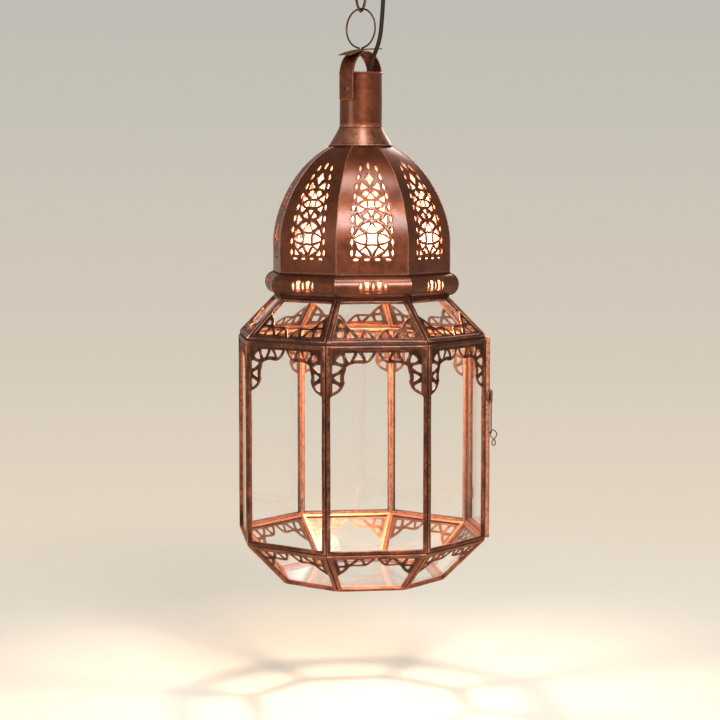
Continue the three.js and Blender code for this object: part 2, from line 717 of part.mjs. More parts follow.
function bulbCap() {
  const { capR, capHead } = BULB;
  return revolve([[0, HOLDER.foot], [capR, HOLDER.foot], [capR, capHead - 5], [8, capHead - 1.5], [5, capHead],
    [0, capHead]], 16);
}

// A thin blown shell, open at the neck where the cap closes it.
function bulbGlass() {
  const { r, centre, capR, wall } = BULB;
  const steps = 6;
  const globe = (inset) => {
    const points = [];
    for (let i = 0; i <= steps; i += 1) {
      const angle = -Math.PI / 2 + (i / steps) * Math.PI * 0.66;
      points.push([(r - inset) * Math.cos(angle), centre + (r - inset) * Math.sin(angle)]);
    }
    points[0][0] = 0;
    points.push([18 - inset, 117], [capR - 0.4 - inset, HOLDER.foot - GAP]);
    return points;
  };
  return revolve([...globe(0), ...globe(wall).reverse()], 16);
}

// ---- Assembly --------------------------------------------------------------------------

const group = new THREE.Group();
const lantern = new THREE.Group();
lantern.position.z = -EAVE_DROP;
group.add(lantern);

function add(name, geometry, material) {
  const mesh = new THREE.Mesh(geometry, material);
  mesh.name = name;
  lantern.add(mesh);
  return mesh;
}

add('ceiling_plate', ceilingPlate(), bronze);
add('ceiling_canopy', ceilingCanopy(), darkCopper);
add('ceiling_hook', ceilingHook(), bronze);
add('cord_grip', cordGrip(), cable);
add('chain_link', chainLink(), bronze);
add('hanging_ring', hangingRing(), bronze);
add('bail_strap', bailStrap(), copper);
add('bail_cover_strip', bailStrip(), copper);
add('bail_rivet_back', bailRivet(0), bronze);
add('bail_rivet_front', bailRivet(1), bronze);
add('neck_tube', neckTube(), copper);
add('neck_collar', collar(), copper);
add('cornice_moulding', cornice(), copper);
add('roof_frame', roofFrame(), darkCopper);
add('body_frame', bodyFrame(), darkCopper);
add('base_frame', baseFrame(), darkCopper);
add('floor_pane', floorPane(), glass);
add('door_frame', doorFrame(), darkCopper);
add('door_pane', doorPane(), glass);
add('door_hinge_pin_lower', hingePin(HINGE_HEIGHTS[0]), bronze);
add('door_hinge_pin_upper', hingePin(HINGE_HEIGHTS[1]), bronze);
add('latch_clip', latchClip(), darkCopper);
add('latch_pull_loop', pullLoop(), bronze);
add('holder_bridge', holderBridge(), darkCopper);
add('lampholder', lampholder(), ceramic);
add('bulb_cap', bulbCap(), bronze);
add('bulb_glass', bulbGlass(), opal);
add('cord', cord(), cable);

const gore = goreTemplate();
for (const face of ALL_FACES) {
  const mesh = add(`dome_panel_${face}`, gore, copper);
  mesh.rotation.z = face * SECTOR;
  add(`roof_pane_${face}`, onFace(pane(ROOF_PANEL), ROOF_PANEL, face), glass);
  add(`base_pane_${face}`, onFace(pane(BASE_PANEL), BASE_PANEL, face), glass);
}
for (const face of FIXED_FACES) {
  add(`body_pane_${face}`, onFace(pane(BODY_PANEL), BODY_PANEL, face), glass);
}

export default group;
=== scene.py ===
# Looks for a hanging lantern of aged copper and clear glass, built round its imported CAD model.
# Shapes are worked out in millimetres, with heights measured from the eave, where the roof
# meets the body. build() turns them into metres in the row's frame.

import math
import random

import bmesh
import bpy
import numpy as np
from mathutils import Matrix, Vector
from mathutils.geometry import delaunay_2d_cdt


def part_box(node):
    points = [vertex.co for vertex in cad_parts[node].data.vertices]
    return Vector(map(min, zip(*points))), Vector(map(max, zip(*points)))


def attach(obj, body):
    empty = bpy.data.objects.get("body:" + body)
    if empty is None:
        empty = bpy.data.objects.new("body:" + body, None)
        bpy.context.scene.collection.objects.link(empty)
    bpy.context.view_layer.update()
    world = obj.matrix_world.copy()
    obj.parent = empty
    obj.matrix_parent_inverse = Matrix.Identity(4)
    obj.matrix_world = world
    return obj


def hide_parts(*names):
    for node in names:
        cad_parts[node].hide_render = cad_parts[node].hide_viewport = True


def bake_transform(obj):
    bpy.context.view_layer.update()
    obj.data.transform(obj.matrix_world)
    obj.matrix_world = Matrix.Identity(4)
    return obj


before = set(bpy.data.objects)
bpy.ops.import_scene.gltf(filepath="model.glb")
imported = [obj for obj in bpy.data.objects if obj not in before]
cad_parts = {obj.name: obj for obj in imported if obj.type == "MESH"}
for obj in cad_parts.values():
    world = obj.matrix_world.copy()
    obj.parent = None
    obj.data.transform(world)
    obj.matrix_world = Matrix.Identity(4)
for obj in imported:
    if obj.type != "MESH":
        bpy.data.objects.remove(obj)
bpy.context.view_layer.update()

MM = 0.001
EAVE_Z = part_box("body_frame")[1].z
scene = bpy.context.scene
dice = random.Random(17)


def heights(node):
    """A CAD node's foot and head, in mm above the eave."""
    return [(end.z - EAVE_Z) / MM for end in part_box(node)]


def apothem(node):
    """How far a CAD node stands out to the front, in mm from the axis."""
    return -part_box(node)[0].y / MM


# ---- Driving sizes ----

SIDES = 8
FACES = range(SIDES)
SECTOR = 2 * math.pi / SIDES
HALF_SECTOR = SECTOR / 2
LEAN = math.tan(HALF_SECTOR)
DOOR_FACE = 2
FIXED_FACES = [face for face in FACES if face != DOOR_FACE]

# Apothems and heights of the cage.
BODY_OUT = apothem("body_frame")
BODY_FOOT = heights("body_frame")[0]
BASE_FOOT = heights("base_frame")[0]
BASE_OUT = 82.6
ROOF_OUT = 86.2
ROOF_HEAD = 41.7

CAME = 4.8
CAME_DEPTH = 3.2
REBATE = 4.2
LACE_THICK = 0.8

CORNICE_FOOT, CORNICE_HEAD = heights("cornice_moulding")
CORNICE_SEAT = 95 * math.cos(HALF_SECTOR)
CORNICE_BULGE = 10.3 * math.cos(HALF_SECTOR)

DOME_FOOT, DOME_HEAD = heights("dome_panel_0")
DOME_OUT = apothem("dome_panel_0")
DOME_SHOULDER = 97.6
DOME_RISE = 106.5
DOME_POWER = 1.72
SHEET = 1.0

NECK_R = 22.1
NECK_SEAM_AT = math.radians(150)
NECK_FOOT, NECK_HEAD = heights("neck_tube")
COLLAR_FOOT, COLLAR_HEAD = heights("neck_collar")
COLLAR_R = 33

BAIL_TURN = math.pi / 4
BAIL_R = 24.8
BAIL_SPRING = 270.5
BAIL_FOOT = heights("bail_strap")[0]
BAIL_WIDTH = 18
BAIL_HOLE = 3.4
BAIL_THICK = 1.5
STRIP_TILT = math.radians(9)
STRIP_LENGTH = 56
STRIP_DROOP = 0.0030         # times the square of the distance from its middle
RIVET_Z = 255

HANG_TURN = math.radians(-53)
RING_R = 20.2
RING_WIDE = 21.2             # the ring is bent by hand, a little wider than tall
RING_WIRE = 0.95
RING_TOP = heights("hanging_ring")[1]
LINK_WIRE = 1.4
LINK_HALF = 6.7
LINK_FOOT = heights("chain_link")[0] + LINK_WIRE
LINK_HEAD = heights("chain_link")[1] - LINK_WIRE
HOOK_WIRE = 2
HOOK_R = 10
HOOK_FOOT = heights("ceiling_hook")[0] + HOOK_WIRE
CEILING = heights("ceiling_plate")[1]
CANOPY_FOOT = heights("ceiling_canopy")[0]
CANOPY_R = 55
CORD_R = 2.2
CORD_REACH = 33


# ---- Camera ----

CAMERA_AZIMUTH = math.radians(-7.47)
CAMERA_REACH = 2095
CAMERA_HEIGHT = 161
CAMERA_PITCH = math.radians(-5.15)
CAMERA_OFFSET = 0.8
CAMERA_LENS = 99.5
CAMERA_SENSOR = 36


def to_row(points):
    """Millimetres from the eave to metres in the row's frame."""
    return np.asarray(points, float) * MM + np.array([0, 0, EAVE_Z])


def add_object(name, data, place=(0, 0, 0), look=None):
    """A new object in the scene, at a place in metres; a camera or light points along look."""
    item = bpy.data.objects.new(name, data)
    item.location = place
    if look:
        item.rotation_mode = "QUATERNION"
        item.rotation_quaternion = look.to_track_quat("-Z", "Y")
    scene.collection.objects.link(item)
    return item


def add_camera():
    back = Vector((math.sin(CAMERA_AZIMUTH), -math.cos(CAMERA_AZIMUTH), 0))
    right = Vector((-back.y, back.x, 0))
    place = back * CAMERA_REACH - right * CAMERA_OFFSET + Vector((0, 0, CAMERA_HEIGHT))
    look = -back * math.cos(CAMERA_PITCH) + Vector((0, 0, math.sin(CAMERA_PITCH)))
    data = bpy.data.cameras.new("camera")
    data.lens = CAMERA_LENS
    data.sensor_width = CAMERA_SENSOR
    scene.camera = add_object("camera", data, to_row(place), look)


add_camera()


# ---- Materials ----


class Nodes:
    """A short hand for the node tree of a new material or world."""

    def __init__(self, name, kind=bpy.data.materials, shader="Principled BSDF", coords="Object"):
        self.owner = kind.new(name)
        self.owner.use_nodes = True
        self.tree = self.owner.node_tree
        self.shader = self.tree.nodes[shader]
        self.coords = self.node("TexCoord").outputs[coords]

    def put(self, socket, value):
        """Links an output to the socket, or gives the socket its own value."""
        if isinstance(value, bpy.types.NodeSocket):
            self.tree.links.new(value, socket)
        else:
            socket.default_value = value

    def fill(self, node, **inputs):
        for name, value in inputs.items():
            self.put(node.inputs[name.replace("_", " ")], value)
        return node

    def set(self, **inputs):
        self.fill(self.shader, **inputs)

    def node(self, kind, **inputs):
        """A new node with its inputs set or linked."""
        return self.fill(self.tree.nodes.new(f"ShaderNode{kind}"), **inputs)

    def stretched(self, scale):
        """The object's coordinates times scale along each axis."""
        return self.node("Mapping", Scale=scale, Vector=self.coords).outputs["Vector"]

    def noise(self, scale, detail=4, rough=0.6, stretch=None):
        source = self.stretched(stretch) if stretch else self.coords
        node = self.node("TexNoise", Scale=scale, Detail=detail, Roughness=rough, Vector=source)
        return node.outputs["Fac"]

    def ramp(self, source, *stops):
        """A colour ramp. A stop is a position and a colour or a level of grey."""
        node = self.node("ValToRGB", Fac=source)
        elements = node.color_ramp.elements
        while len(elements) < len(stops):
            elements.new(0.5)
        for element, (position, color) in zip(elements, stops):
            element.position = position
            element.color = (*color, 1) if isinstance(color, tuple) else (color, color, color, 1)
        return node.outputs["Color"]

    def mix(self, factor, first, second):
        node = self.node("Mix")
        node.data_type = "RGBA"
        for name, value in (("Factor", factor), ("A", first), ("B", second)):
            socket = [s for s in node.inputs if s.name == name and s.enabled][0]
            self.put(socket, (*value, 1) if isinstance(value, tuple) else value)
        return [s for s in node.outputs if s.enabled][0]

    def math(self, operation, first, second):
        node = self.node("Math")
        node.operation = operation
        self.put(node.inputs[0], first)
        self.put(node.inputs[1], second)
        return node.outputs["Value"]

    def shares(self, first, share, second):
        """A share of the first source and the rest of the second."""
        rest = self.math("MULTIPLY", second, 1 - share)
        return self.math("ADD", self.math("MULTIPLY", first, share), rest)

    def bump(self, source, distance, strength, below=None):
        node = self.node("Bump", Distance=distance, Strength=strength, Height=source)
        if below:
            self.put(node.inputs["Normal"], below)
        return node.outputs["Normal"]


def aged_metal(name, dark, base, bright, rough=(0.36, 0.58), patina=0.5, grain=1.0,
               metallic=(0.7, 0.94), coat=0.06):
    """Copper or bronze with a cloudy patina, hollows darkened as grime and painted shade, and sharp edges
    painted bright as rubbed wear and as a painted highlight.
    """
    n = Nodes(name)
    clouds = n.noise(34 * grain, 6, 0.62)
    mottle = n.noise(230 * grain, 5, 0.65)
    scratches = n.noise(160, 3, 0.6, stretch=(1, 1, 7))
    blotches = n.shares(clouds, 0.65, mottle)
    body = n.ramp(blotches, (patina - 0.11, dark), (patina + 0.01, base), (patina + 0.2, bright))
    pointed = n.node("NewGeometry").outputs["Pointiness"]
    rubbed = n.ramp(mottle, (0.35, 0.3), (0.6, 1.0))
    # Sharp edges painted bright: rubbed wear, and a painted highlight on the beads' crowns.
    wear_and_highlight = n.math("MULTIPLY", n.ramp(pointed, (0.515, 0.0), (0.57, 1.0)), rubbed)
    # Hollows darkened: grime, and painted shade where the hollows lie in shade.
    grime_and_shade = n.ramp(pointed, (0.44, 1.0), (0.497, 0.0))
    color = n.mix(grime_and_shade, body, tuple(0.3 * channel for channel in dark))
    color = n.mix(wear_and_highlight, color, tuple(min(1.0, 1.5 * channel) for channel in bright))
    dull, clean = metallic
    n.set(Base_Color=color, Metallic=n.ramp(blotches, (patina - 0.15, dull), (patina + 0.1, clean)))
    n.set(Roughness=n.ramp(n.shares(mottle, 0.6, scratches), (0.36, rough[0]), (0.64, rough[1])))
    n.set(Specular_Tint=(0.70, 0.50, 0.42, 1), Coat_Weight=coat, Coat_Roughness=0.22)
    dents = n.bump(clouds, 0.0010, 0.3)
    grit = n.math("ADD", mottle, n.math("MULTIPLY", scratches, 0.6))
    n.set(Normal=n.bump(grit, 0.00018, 0.45, dents))
    return n.owner


def clear_glass():
    """Thin window glass: nearly all see-through face on, and mirror-like at a glancing angle."""
    n = Nodes("clear_glass")
    ripple = n.noise(22, 2, 0.4)
    smears = n.noise(60, 5, 0.7, stretch=(1, 1, 0.3))
    facing = n.node("LayerWeight", Blend=0.5).outputs["Facing"]
    glance = n.math("MULTIPLY", n.math("POWER", facing, 5), 0.55)
    haze = n.ramp(smears, (0.42, 0.022), (0.75, 0.05))
    n.set(Base_Color=(0.93, 0.95, 0.93, 1), Metallic=1.0, Alpha=n.math("ADD", haze, glance))
    n.set(Roughness=n.ramp(smears, (0.45, 0.01), (0.8, 0.05)))
    n.set(Normal=n.bump(ripple, 0.0004, 0.05))
    return n.owner


def opal_glass():
    n = Nodes("opal_glass")
    frost = n.noise(300, 3)
    n.set(Base_Color=(1.0, 0.93, 0.82, 1), Emission_Strength=BULB_GLOW)
    n.set(Roughness=n.ramp(frost, (0.4, 0.22), (0.6, 0.34)))
    n.set(Emission_Color=n.ramp(n.noise(12, 2), (0.3, (1.0, 0.60, 0.33)), (0.7, (1.0, 0.66, 0.39))))
    n.set(Normal=n.bump(frost, 0.0001, 0.3))
    return n.owner


def ceramic():
    n = Nodes("ceramic")
    speckle = n.noise(500, 4)
    n.set(Base_Color=n.ramp(speckle, (0.35, (0.74, 0.70, 0.62)), (0.6, (0.86, 0.83, 0.77))))
    n.set(Roughness=n.ramp(n.noise(90, 3), (0.4, 0.18), (0.6, 0.3)))
    n.set(Coat_Weight=0.4, Coat_Roughness=0.1)
    n.set(Normal=n.bump(speckle, 0.00015, 0.4))
    return n.owner


def cable():
    n = Nodes("cable")
    weave = n.node("TexWave", Scale=420, Distortion=0.4, Vector=n.coords)
    weave.wave_type = "BANDS"
    weave.bands_direction = "DIAGONAL"
    thread = weave.outputs["Fac"]
    dust = n.noise(120, 4)
    color = n.mix(n.ramp(dust, (0.5, 0.0), (0.75, 0.5)), (0.011, 0.006, 0.004), (0.030, 0.017, 0.012))
    n.set(Base_Color=n.mix(n.math("MULTIPLY", thread, 0.5), color, (0.020, 0.011, 0.008)))
    n.set(Roughness=n.ramp(dust, (0.3, 0.46), (0.7, 0.62)), Specular_IOR_Level=0.2)
    n.set(Normal=n.bump(thread, 0.00012, 0.5))
    return n.owner


def cap_metal():
    n = Nodes("cap_metal")
    rub = n.noise(180, 5)
    n.set(Base_Color=n.ramp(rub, (0.35, (0.45, 0.43, 0.40)), (0.65, (0.78, 0.76, 0.72))))
    n.set(Roughness=n.ramp(rub, (0.35, 0.24), (0.65, 0.42)), Metallic=1.0)
    n.set(Normal=n.bump(rub, 0.0001, 0.4))
    return n.owner


BULB_GLOW = 4                # the globe's own look; the lamp's light comes from a light inside it

COPPER = aged_metal("copper", (0.060, 0.015, 0.006), (0.118, 0.029, 0.010), (0.200, 0.060, 0.026),
                    coat=0.42)
# The collar's copper is about twice as light as the rest: painted light, where the collar catches the light.
LIT_COLLAR_COPPER = aged_metal("collar_copper_painted_light", (0.085, 0.028, 0.015), (0.215, 0.078, 0.042),
                           (0.40, 0.17, 0.105), coat=0.42)
BAIL_COPPER = aged_metal("bail_copper", (0.032, 0.009, 0.004), (0.095, 0.026, 0.010),
                         (0.19, 0.062, 0.028), grain=1.4, coat=0.2)
CAME_COPPER = aged_metal("dark_copper", (0.034, 0.009, 0.005), (0.125, 0.036, 0.015),
                         (0.42, 0.175, 0.10), patina=0.52, grain=1.6, coat=0.3)
# The base's cames are lighter than the body's: painted light, as if lit from the floor below.
UPLIT_BASE_COPPER = aged_metal("base_copper_painted_uplight", (0.070, 0.018, 0.009), (0.19, 0.056, 0.026),
                         (0.37, 0.135, 0.075), grain=1.6, coat=0.3)
# The roof's rim is near black: painted shade under the cornice.
SHADED_RIM_COPPER = aged_metal("rim_copper_painted_shade", (0.007, 0.003, 0.002), (0.020, 0.007, 0.004),
                        (0.06, 0.024, 0.014), grain=1.6)
# Near-black solder: real solder, darkened further as painted shade in the grooves and joints.
SOLDER_AND_SHADE = aged_metal("solder", (0.005, 0.003, 0.003), (0.012, 0.007, 0.006), (0.05, 0.030, 0.024),
                    rough=(0.35, 0.6), patina=0.55, grain=3, metallic=(0.85, 0.96), coat=0.0)
SEAM_METAL = aged_metal("seam_metal", (0.014, 0.007, 0.005), (0.09, 0.036, 0.022),
                        (0.30, 0.15, 0.10), grain=1.2)
BEAD_METAL = aged_metal("bead_metal", (0.07, 0.028, 0.018), (0.24, 0.115, 0.078),
                        (0.55, 0.36, 0.28), rough=(0.25, 0.42), grain=3)
BRONZE = aged_metal("bronze", (0.014, 0.007, 0.005), (0.040, 0.018, 0.011), (0.15, 0.075, 0.05),
                    rough=(0.32, 0.5), grain=3)

# A cut sheet has three metals: its outer side, its inner side and its cut edges. The pierced
# sheets are dull and tinned inside.
TINNED = aged_metal("tinned_inside", (0.080, 0.068, 0.062), (0.125, 0.112, 0.105),
                    (0.16, 0.145, 0.138), rough=(0.5, 0.7), grain=2, metallic=(0.1, 0.3))
# The cut edges are much lighter and redder than the sheet: bare copper, made brighter still as painted lamp
# light glowing on them.
GLOWING_CUT_COPPER = aged_metal("cut_copper_painted_glow", (0.20, 0.036, 0.017), (0.40, 0.080, 0.038),
                        (0.58, 0.15, 0.08), grain=3)
LACE_COPPER = aged_metal("lace_copper", (0.020, 0.008, 0.005), (0.075, 0.027, 0.015),
                         (0.22, 0.10, 0.065), rough=(0.34, 0.55), patina=0.53, grain=2.2)
LACE_INSIDE = aged_metal("lace_inside", (0.055, 0.019, 0.010), (0.15, 0.058, 0.032),
                         (0.28, 0.125, 0.08), grain=2.2)
PIERCED_SHEET = [COPPER, TINNED, GLOWING_CUT_COPPER]
LACE_SHEET = [LACE_COPPER, LACE_INSIDE, LACE_INSIDE]
GLASS = clear_glass()
OPAL = opal_glass()
CERAMIC = ceramic()
CABLE = cable()
CAP = cap_metal()


# ---- Mesh helpers ----


def build(name, parts, materials, stands_for=None, body="lantern", sharp=38):
    """One piece from parts, riding on a CAD body. A part is points in mm, faces, and, where the
    piece has several materials, each face's place in their list."""
    points = []
    faces = []
    kinds = []
    for part_points, part_faces, *part_kinds in parts:
        start = len(points)
        points.extend(to_row(part_points).tolist())
        faces.extend([tuple(start + i for i in face) for face in part_faces])
        kinds.extend(part_kinds[0] if part_kinds else [0] * len(part_faces))
    mesh = bpy.data.meshes.new(name)
    mesh.from_pydata(points, [], faces)
    mesh.polygons.foreach_set("material_index", kinds)
    shape = bmesh.new()
    shape.from_mesh(mesh)
    bmesh.ops.remove_doubles(shape, verts=shape.verts, dist=2e-7)
    bmesh.ops.recalc_face_normals(shape, faces=shape.faces)
    shape.to_mesh(mesh)
    shape.free()
    mesh.polygons.foreach_set("use_smooth", [True] * len(mesh.polygons))
    mesh.set_sharp_from_angle(angle=math.radians(sharp))
    for material in materials if isinstance(materials, list) else [materials]:
        mesh.materials.append(material)
    piece = add_object(name, mesh)
    if body:
        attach(piece, body)
    if stands_for:
        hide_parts(stands_for)
    return piece


def grid_faces(rows, columns, wrap_rows=False, wrap_columns=False):
    faces = []
    for i in range(rows if wrap_rows else rows - 1):
        for j in range(columns if wrap_columns else columns - 1):
            after = ((i + 1) % rows) * columns
            beside = (j + 1) % columns
            faces.append((i * columns + j, i * columns + beside, after + beside, after + j))
    return faces


def moved(profile, out, up):
    """A profile shifted outwards and up."""
    return [(x + out, z + up) for x, z in profile]


def lathe(profile, segments, closed=False, centre=(0, 0)):
    """A body of revolution about +Z from (radius, height) pairs."""
    profile = np.asarray(profile, float)
    angles = np.arange(segments) * 2 * math.pi / segments
    x = profile[:, :1] * np.cos(angles) + centre[0]
    y = profile[:, :1] * np.sin(angles) + centre[1]
    z = np.repeat(profile[:, 1:2], segments, axis=1)
    points = np.stack([x, y, z], axis=-1).reshape(-1, 3)
    return points, grid_faces(len(profile), segments, wrap_rows=closed, wrap_columns=True)


def octagon_ring(profile):
    """A mitred eight-sided ring from a closed profile of (apothem, height) pairs."""
    corners = [(out / math.cos(HALF_SECTOR), z) for out, z in profile]
    points, faces = lathe(corners, SIDES, closed=True)
    return turned(points, HALF_SECTOR), faces


def turned(points, angle):
    points = np.asarray(points, float)
    c, s = math.cos(angle), math.sin(angle)
    x, y = points[:, 0].copy(), points[:, 1].copy()
    return np.stack([x * c - y * s, x * s + y * c, points[:, 2]], axis=1)


def straight(start, end, count, endpoint=True):
    """Points spread evenly from start to end."""
    start, end = np.array(start), np.array(end)
    return start + (end - start) * np.linspace(0, 1, count, endpoint=endpoint)[:, None]


def smooth_path(points, count, closed=False):
    """Catmull-Rom through the points, evenly respaced."""
    points = np.asarray(points, float)
    if closed:
        knots = np.vstack([points[-1:], points, points[:2]])
    else:
        knots = np.vstack([2 * points[0] - points[1], points, 2 * points[-1] - points[-2]])
    fine = []
    for a, b, c, d in zip(knots, knots[1:], knots[2:], knots[3:]):
        for t in np.linspace(0, 1, 16, endpoint=False):
            fine.append(0.5 * (2 * b + (c - a) * t + (2 * a - 5 * b + 4 * c - d) * t**2
                               + (3 * b - a - 3 * c + d) * t**3))
    fine.append(points[0] if closed else points[-1])
    fine = np.array(fine)
    along = np.concatenate([[0], np.cumsum(np.linalg.norm(np.diff(fine, axis=0), axis=1))])
    wanted = np.linspace(0, along[-1], count + 1 if closed else count)
    if closed:
        wanted = wanted[:-1]
    return np.stack([np.interp(wanted, along, values) for values in fine.T], axis=1)


def tube(path, radius, sides=12, closed=False):
    """A round wire along a path; radius may change along it. Open ends are domed."""
    path = np.asarray(path, float)
    radius = np.broadcast_to(np.asarray(radius, float), (len(path),)).copy()
    if closed:
        tangent = np.roll(path, -1, axis=0) - np.roll(path, 1, axis=0)
    else:
        first, last = path[0] - path[1], path[-1] - path[-2]
        first, last = first / np.linalg.norm(first), last / np.linalg.norm(last)
        path = np.vstack([path[0] + first * radius[0] * 0.45, path[0] + first * radius[0] * 0.3, path,
                          path[-1] + last * radius[-1] * 0.3, path[-1] + last * radius[-1] * 0.45])
        dome = np.array([0.05, 0.72])
        radius = np.concatenate([radius[0] * dome, radius, radius[-1] * dome[::-1]])
        tangent = np.gradient(path, axis=0)
    tangent = tangent / np.linalg.norm(tangent, axis=1, keepdims=True)
    side = np.cross(tangent[0], (0.31, 0.17, 0.93))
    sides_along = []
    for direction in tangent:
        side = side - direction * side.dot(direction)
        side = side / np.linalg.norm(side)
        sides_along.append(side)
    sides_along = np.array(sides_along)
    across = np.cross(tangent, sides_along)
    angles = np.arange(sides) * 2 * math.pi / sides
    ring = (sides_along[:, None, :] * np.cos(angles)[None, :, None]
            + across[:, None, :] * np.sin(angles)[None, :, None])
    points = (path[:, None, :] + ring * radius[:, None, None]).reshape(-1, 3)
    return points, grid_faces(len(path), sides, wrap_rows=closed, wrap_columns=True)


def arc(centre, across, up, first, last, count, endpoint=True):
    """Points on a round or oval arc, from the angle first to last."""
    angles = np.linspace(first, last, count, endpoint=endpoint)
    return [(centre[0] + across * math.cos(a), centre[1] + up * math.sin(a)) for a in angles]


def rounded_box(low, high, edge):
    """A box in local axes with small chamfers all round, as points and faces."""
    shape = bmesh.new()
    bmesh.ops.create_cube(shape, size=1)
    size = np.asarray(high, float) - np.asarray(low, float)
    centre = (np.asarray(high, float) + np.asarray(low, float)) / 2
    for vert in shape.verts:
        vert.co = Vector(np.array(vert.co) * size + centre)
    bmesh.ops.bevel(shape, geom=shape.edges[:], offset=edge, segments=2, profile=0.6, affect="EDGES")
    shape.verts.index_update()
    points = np.array([vert.co for vert in shape.verts])
    faces = [tuple(vert.index for vert in face.verts) for face in shape.faces]
    shape.free()
    return points, faces


# ---- Facets of the octagon ----


class Facet:
    """One side of the octagon: flat across, and following a profile of (apothem, height) up it."""

    def __init__(self, profile, t=None):
        self.profile = np.asarray(profile, float)
        steps = np.linalg.norm(np.diff(self.profile, axis=0), axis=1)
        self.t = np.concatenate([[0], np.cumsum(steps)]) if t is None else np.asarray(t, float)
        run = np.gradient(self.profile, self.t, axis=0)
        run /= np.linalg.norm(run, axis=1, keepdims=True)
        self.normal = np.stack([run[:, 1], -run[:, 0]], axis=1)
        self.length = self.t[-1]

    def at(self, table, t):
        return np.interp(t, self.t, table[:, 0]), np.interp(t, self.t, table[:, 1])

    def half_width(self, t):
        return self.at(self.profile, t)[0] * LEAN

    def inset_width(self, t, inset):
        """Half the width left at t inside a border of that width."""
        rate = (self.half_width(self.length) - self.half_width(0)) / self.length
        return self.half_width(t) - inset * math.hypot(1, rate)

    def place(self, face, u, t, h):
        out, z = self.at(self.profile, t)
        n_out, n_z = self.at(self.normal, t)
        out, z = out + n_out * h, z + n_z * h
        c, s = math.cos(face * SECTOR), math.sin(face * SECTOR)
        return np.stack([u * c + out * s, u * s - out * c, z], axis=-1)

    def on(self, face):
        """place() on that face of the octagon."""
        return lambda u, t, h: self.place(face, u, t, h)


class Leaf(Facet):
    """The door's face: the body's plane with upright sides."""

    def __init__(self, body, half, margin):
        foot = (body.profile[0][0], body.profile[0][1] + margin)
        head = (body.profile[-1][0], body.profile[-1][1] - margin)
        super().__init__([foot, head])
        self.half = half

    def half_width(self, t):
        return np.full(np.shape(t), self.half, float)


ROOF = Facet([(BODY_OUT, 0), (ROOF_OUT, ROOF_HEAD)])
BODY = Facet([(BODY_OUT, BODY_FOOT), (BODY_OUT, 0)])
BASE = Facet([(BASE_OUT, BASE_FOOT), (BODY_OUT, BODY_FOOT)])
DOOR = Leaf(BODY, half=50.5, margin=1.5)


# ---- Cut sheet metal ----

CUT_SHARP = 50               # degrees; a cut sheet's lips are smooth below this, its edges sharp
LIP_AT = 0.45                # distance of the raised lip from a cut edge
LIP = ((0, -0.22), (LIP_AT, 0.16), (0.95, -0.06), (1.6, 0.0))


def curved(corners, bulge=0.0, steps=4):
    """A closed outline whose sides swell outwards, or inwards where bulge is negative."""
    corners = np.asarray(corners, float)
    following = np.roll(corners, -1, axis=0)
    area = np.sum(corners[:, 0] * following[:, 1] - following[:, 0] * corners[:, 1])
    outward = 1 if area > 0 else -1
    bulges = np.broadcast_to(np.asarray(bulge, float), (len(corners),))
    points = []
    for a, b, swell in zip(corners, following, bulges):
        run = b - a
        normal = outward * np.array([run[1], -run[0]]) / np.linalg.norm(run)
        for s in np.linspace(0, 1, steps, endpoint=False):
            points.append(a + run * s + normal * swell * 4 * s * (1 - s))
    return np.array(points)


def circle(height, across, up, count):
    """A round or oval loop with its centre on the middle line."""
    return arc((0, height), across, up, 0, 2 * math.pi, count, endpoint=False)


def mirrored(points):
    return np.asarray(points, float)[::-1] * [-1, 1]


def shrunk(loop, margin):
    """The loop drawn in by about that margin all round."""
    centre = loop.mean(axis=0)
    reach = np.linalg.norm(loop - centre, axis=1, keepdims=True)
    return centre + (loop - centre) * np.maximum(1 - margin / reach, 0.5)


def oval(centre, half_length, half_width, lean=0.0):
    """A pointed oval; lean turns its long axis away from upright."""
    points = curved([(0, -half_length), (0, half_length)], half_width, steps=7)
    c, s = math.cos(lean), math.sin(lean)
    return points @ np.array([[c, s], [-s, c]]) + np.asarray(centre, float)


def inside(points, loop):
    """Which points lie inside a closed loop, by counting crossings."""
    result = np.zeros(len(points), bool)
    x, y = points[:, 0], points[:, 1]
    for (x0, y0), (x1, y1) in zip(loop, np.roll(loop, -1, axis=0)):
        if y0 == y1:
            continue
        crosses = ((y0 > y) != (y1 > y)) & (x < (x1 - x0) * (y - y0) / (y1 - y0) + x0)
        result ^= crosses
    return result


def edge_distance(points, loops):
    starts = np.vstack(loops)
    ends = np.vstack([np.roll(loop, -1, axis=0) for loop in loops])
    run = ends - starts
    length = np.maximum((run**2).sum(axis=1), 1e-12)
    nearest = np.full(len(points), np.inf)
    for at in range(0, len(points), 400):
        some = points[at:at + 400, None, :] - starts[None]
        share = np.clip((some * run).sum(axis=2) / length, 0, 1)
        gap = np.linalg.norm(some - share[..., None] * run, axis=2)
        nearest[at:at + 400] = gap.min(axis=1)
    return nearest


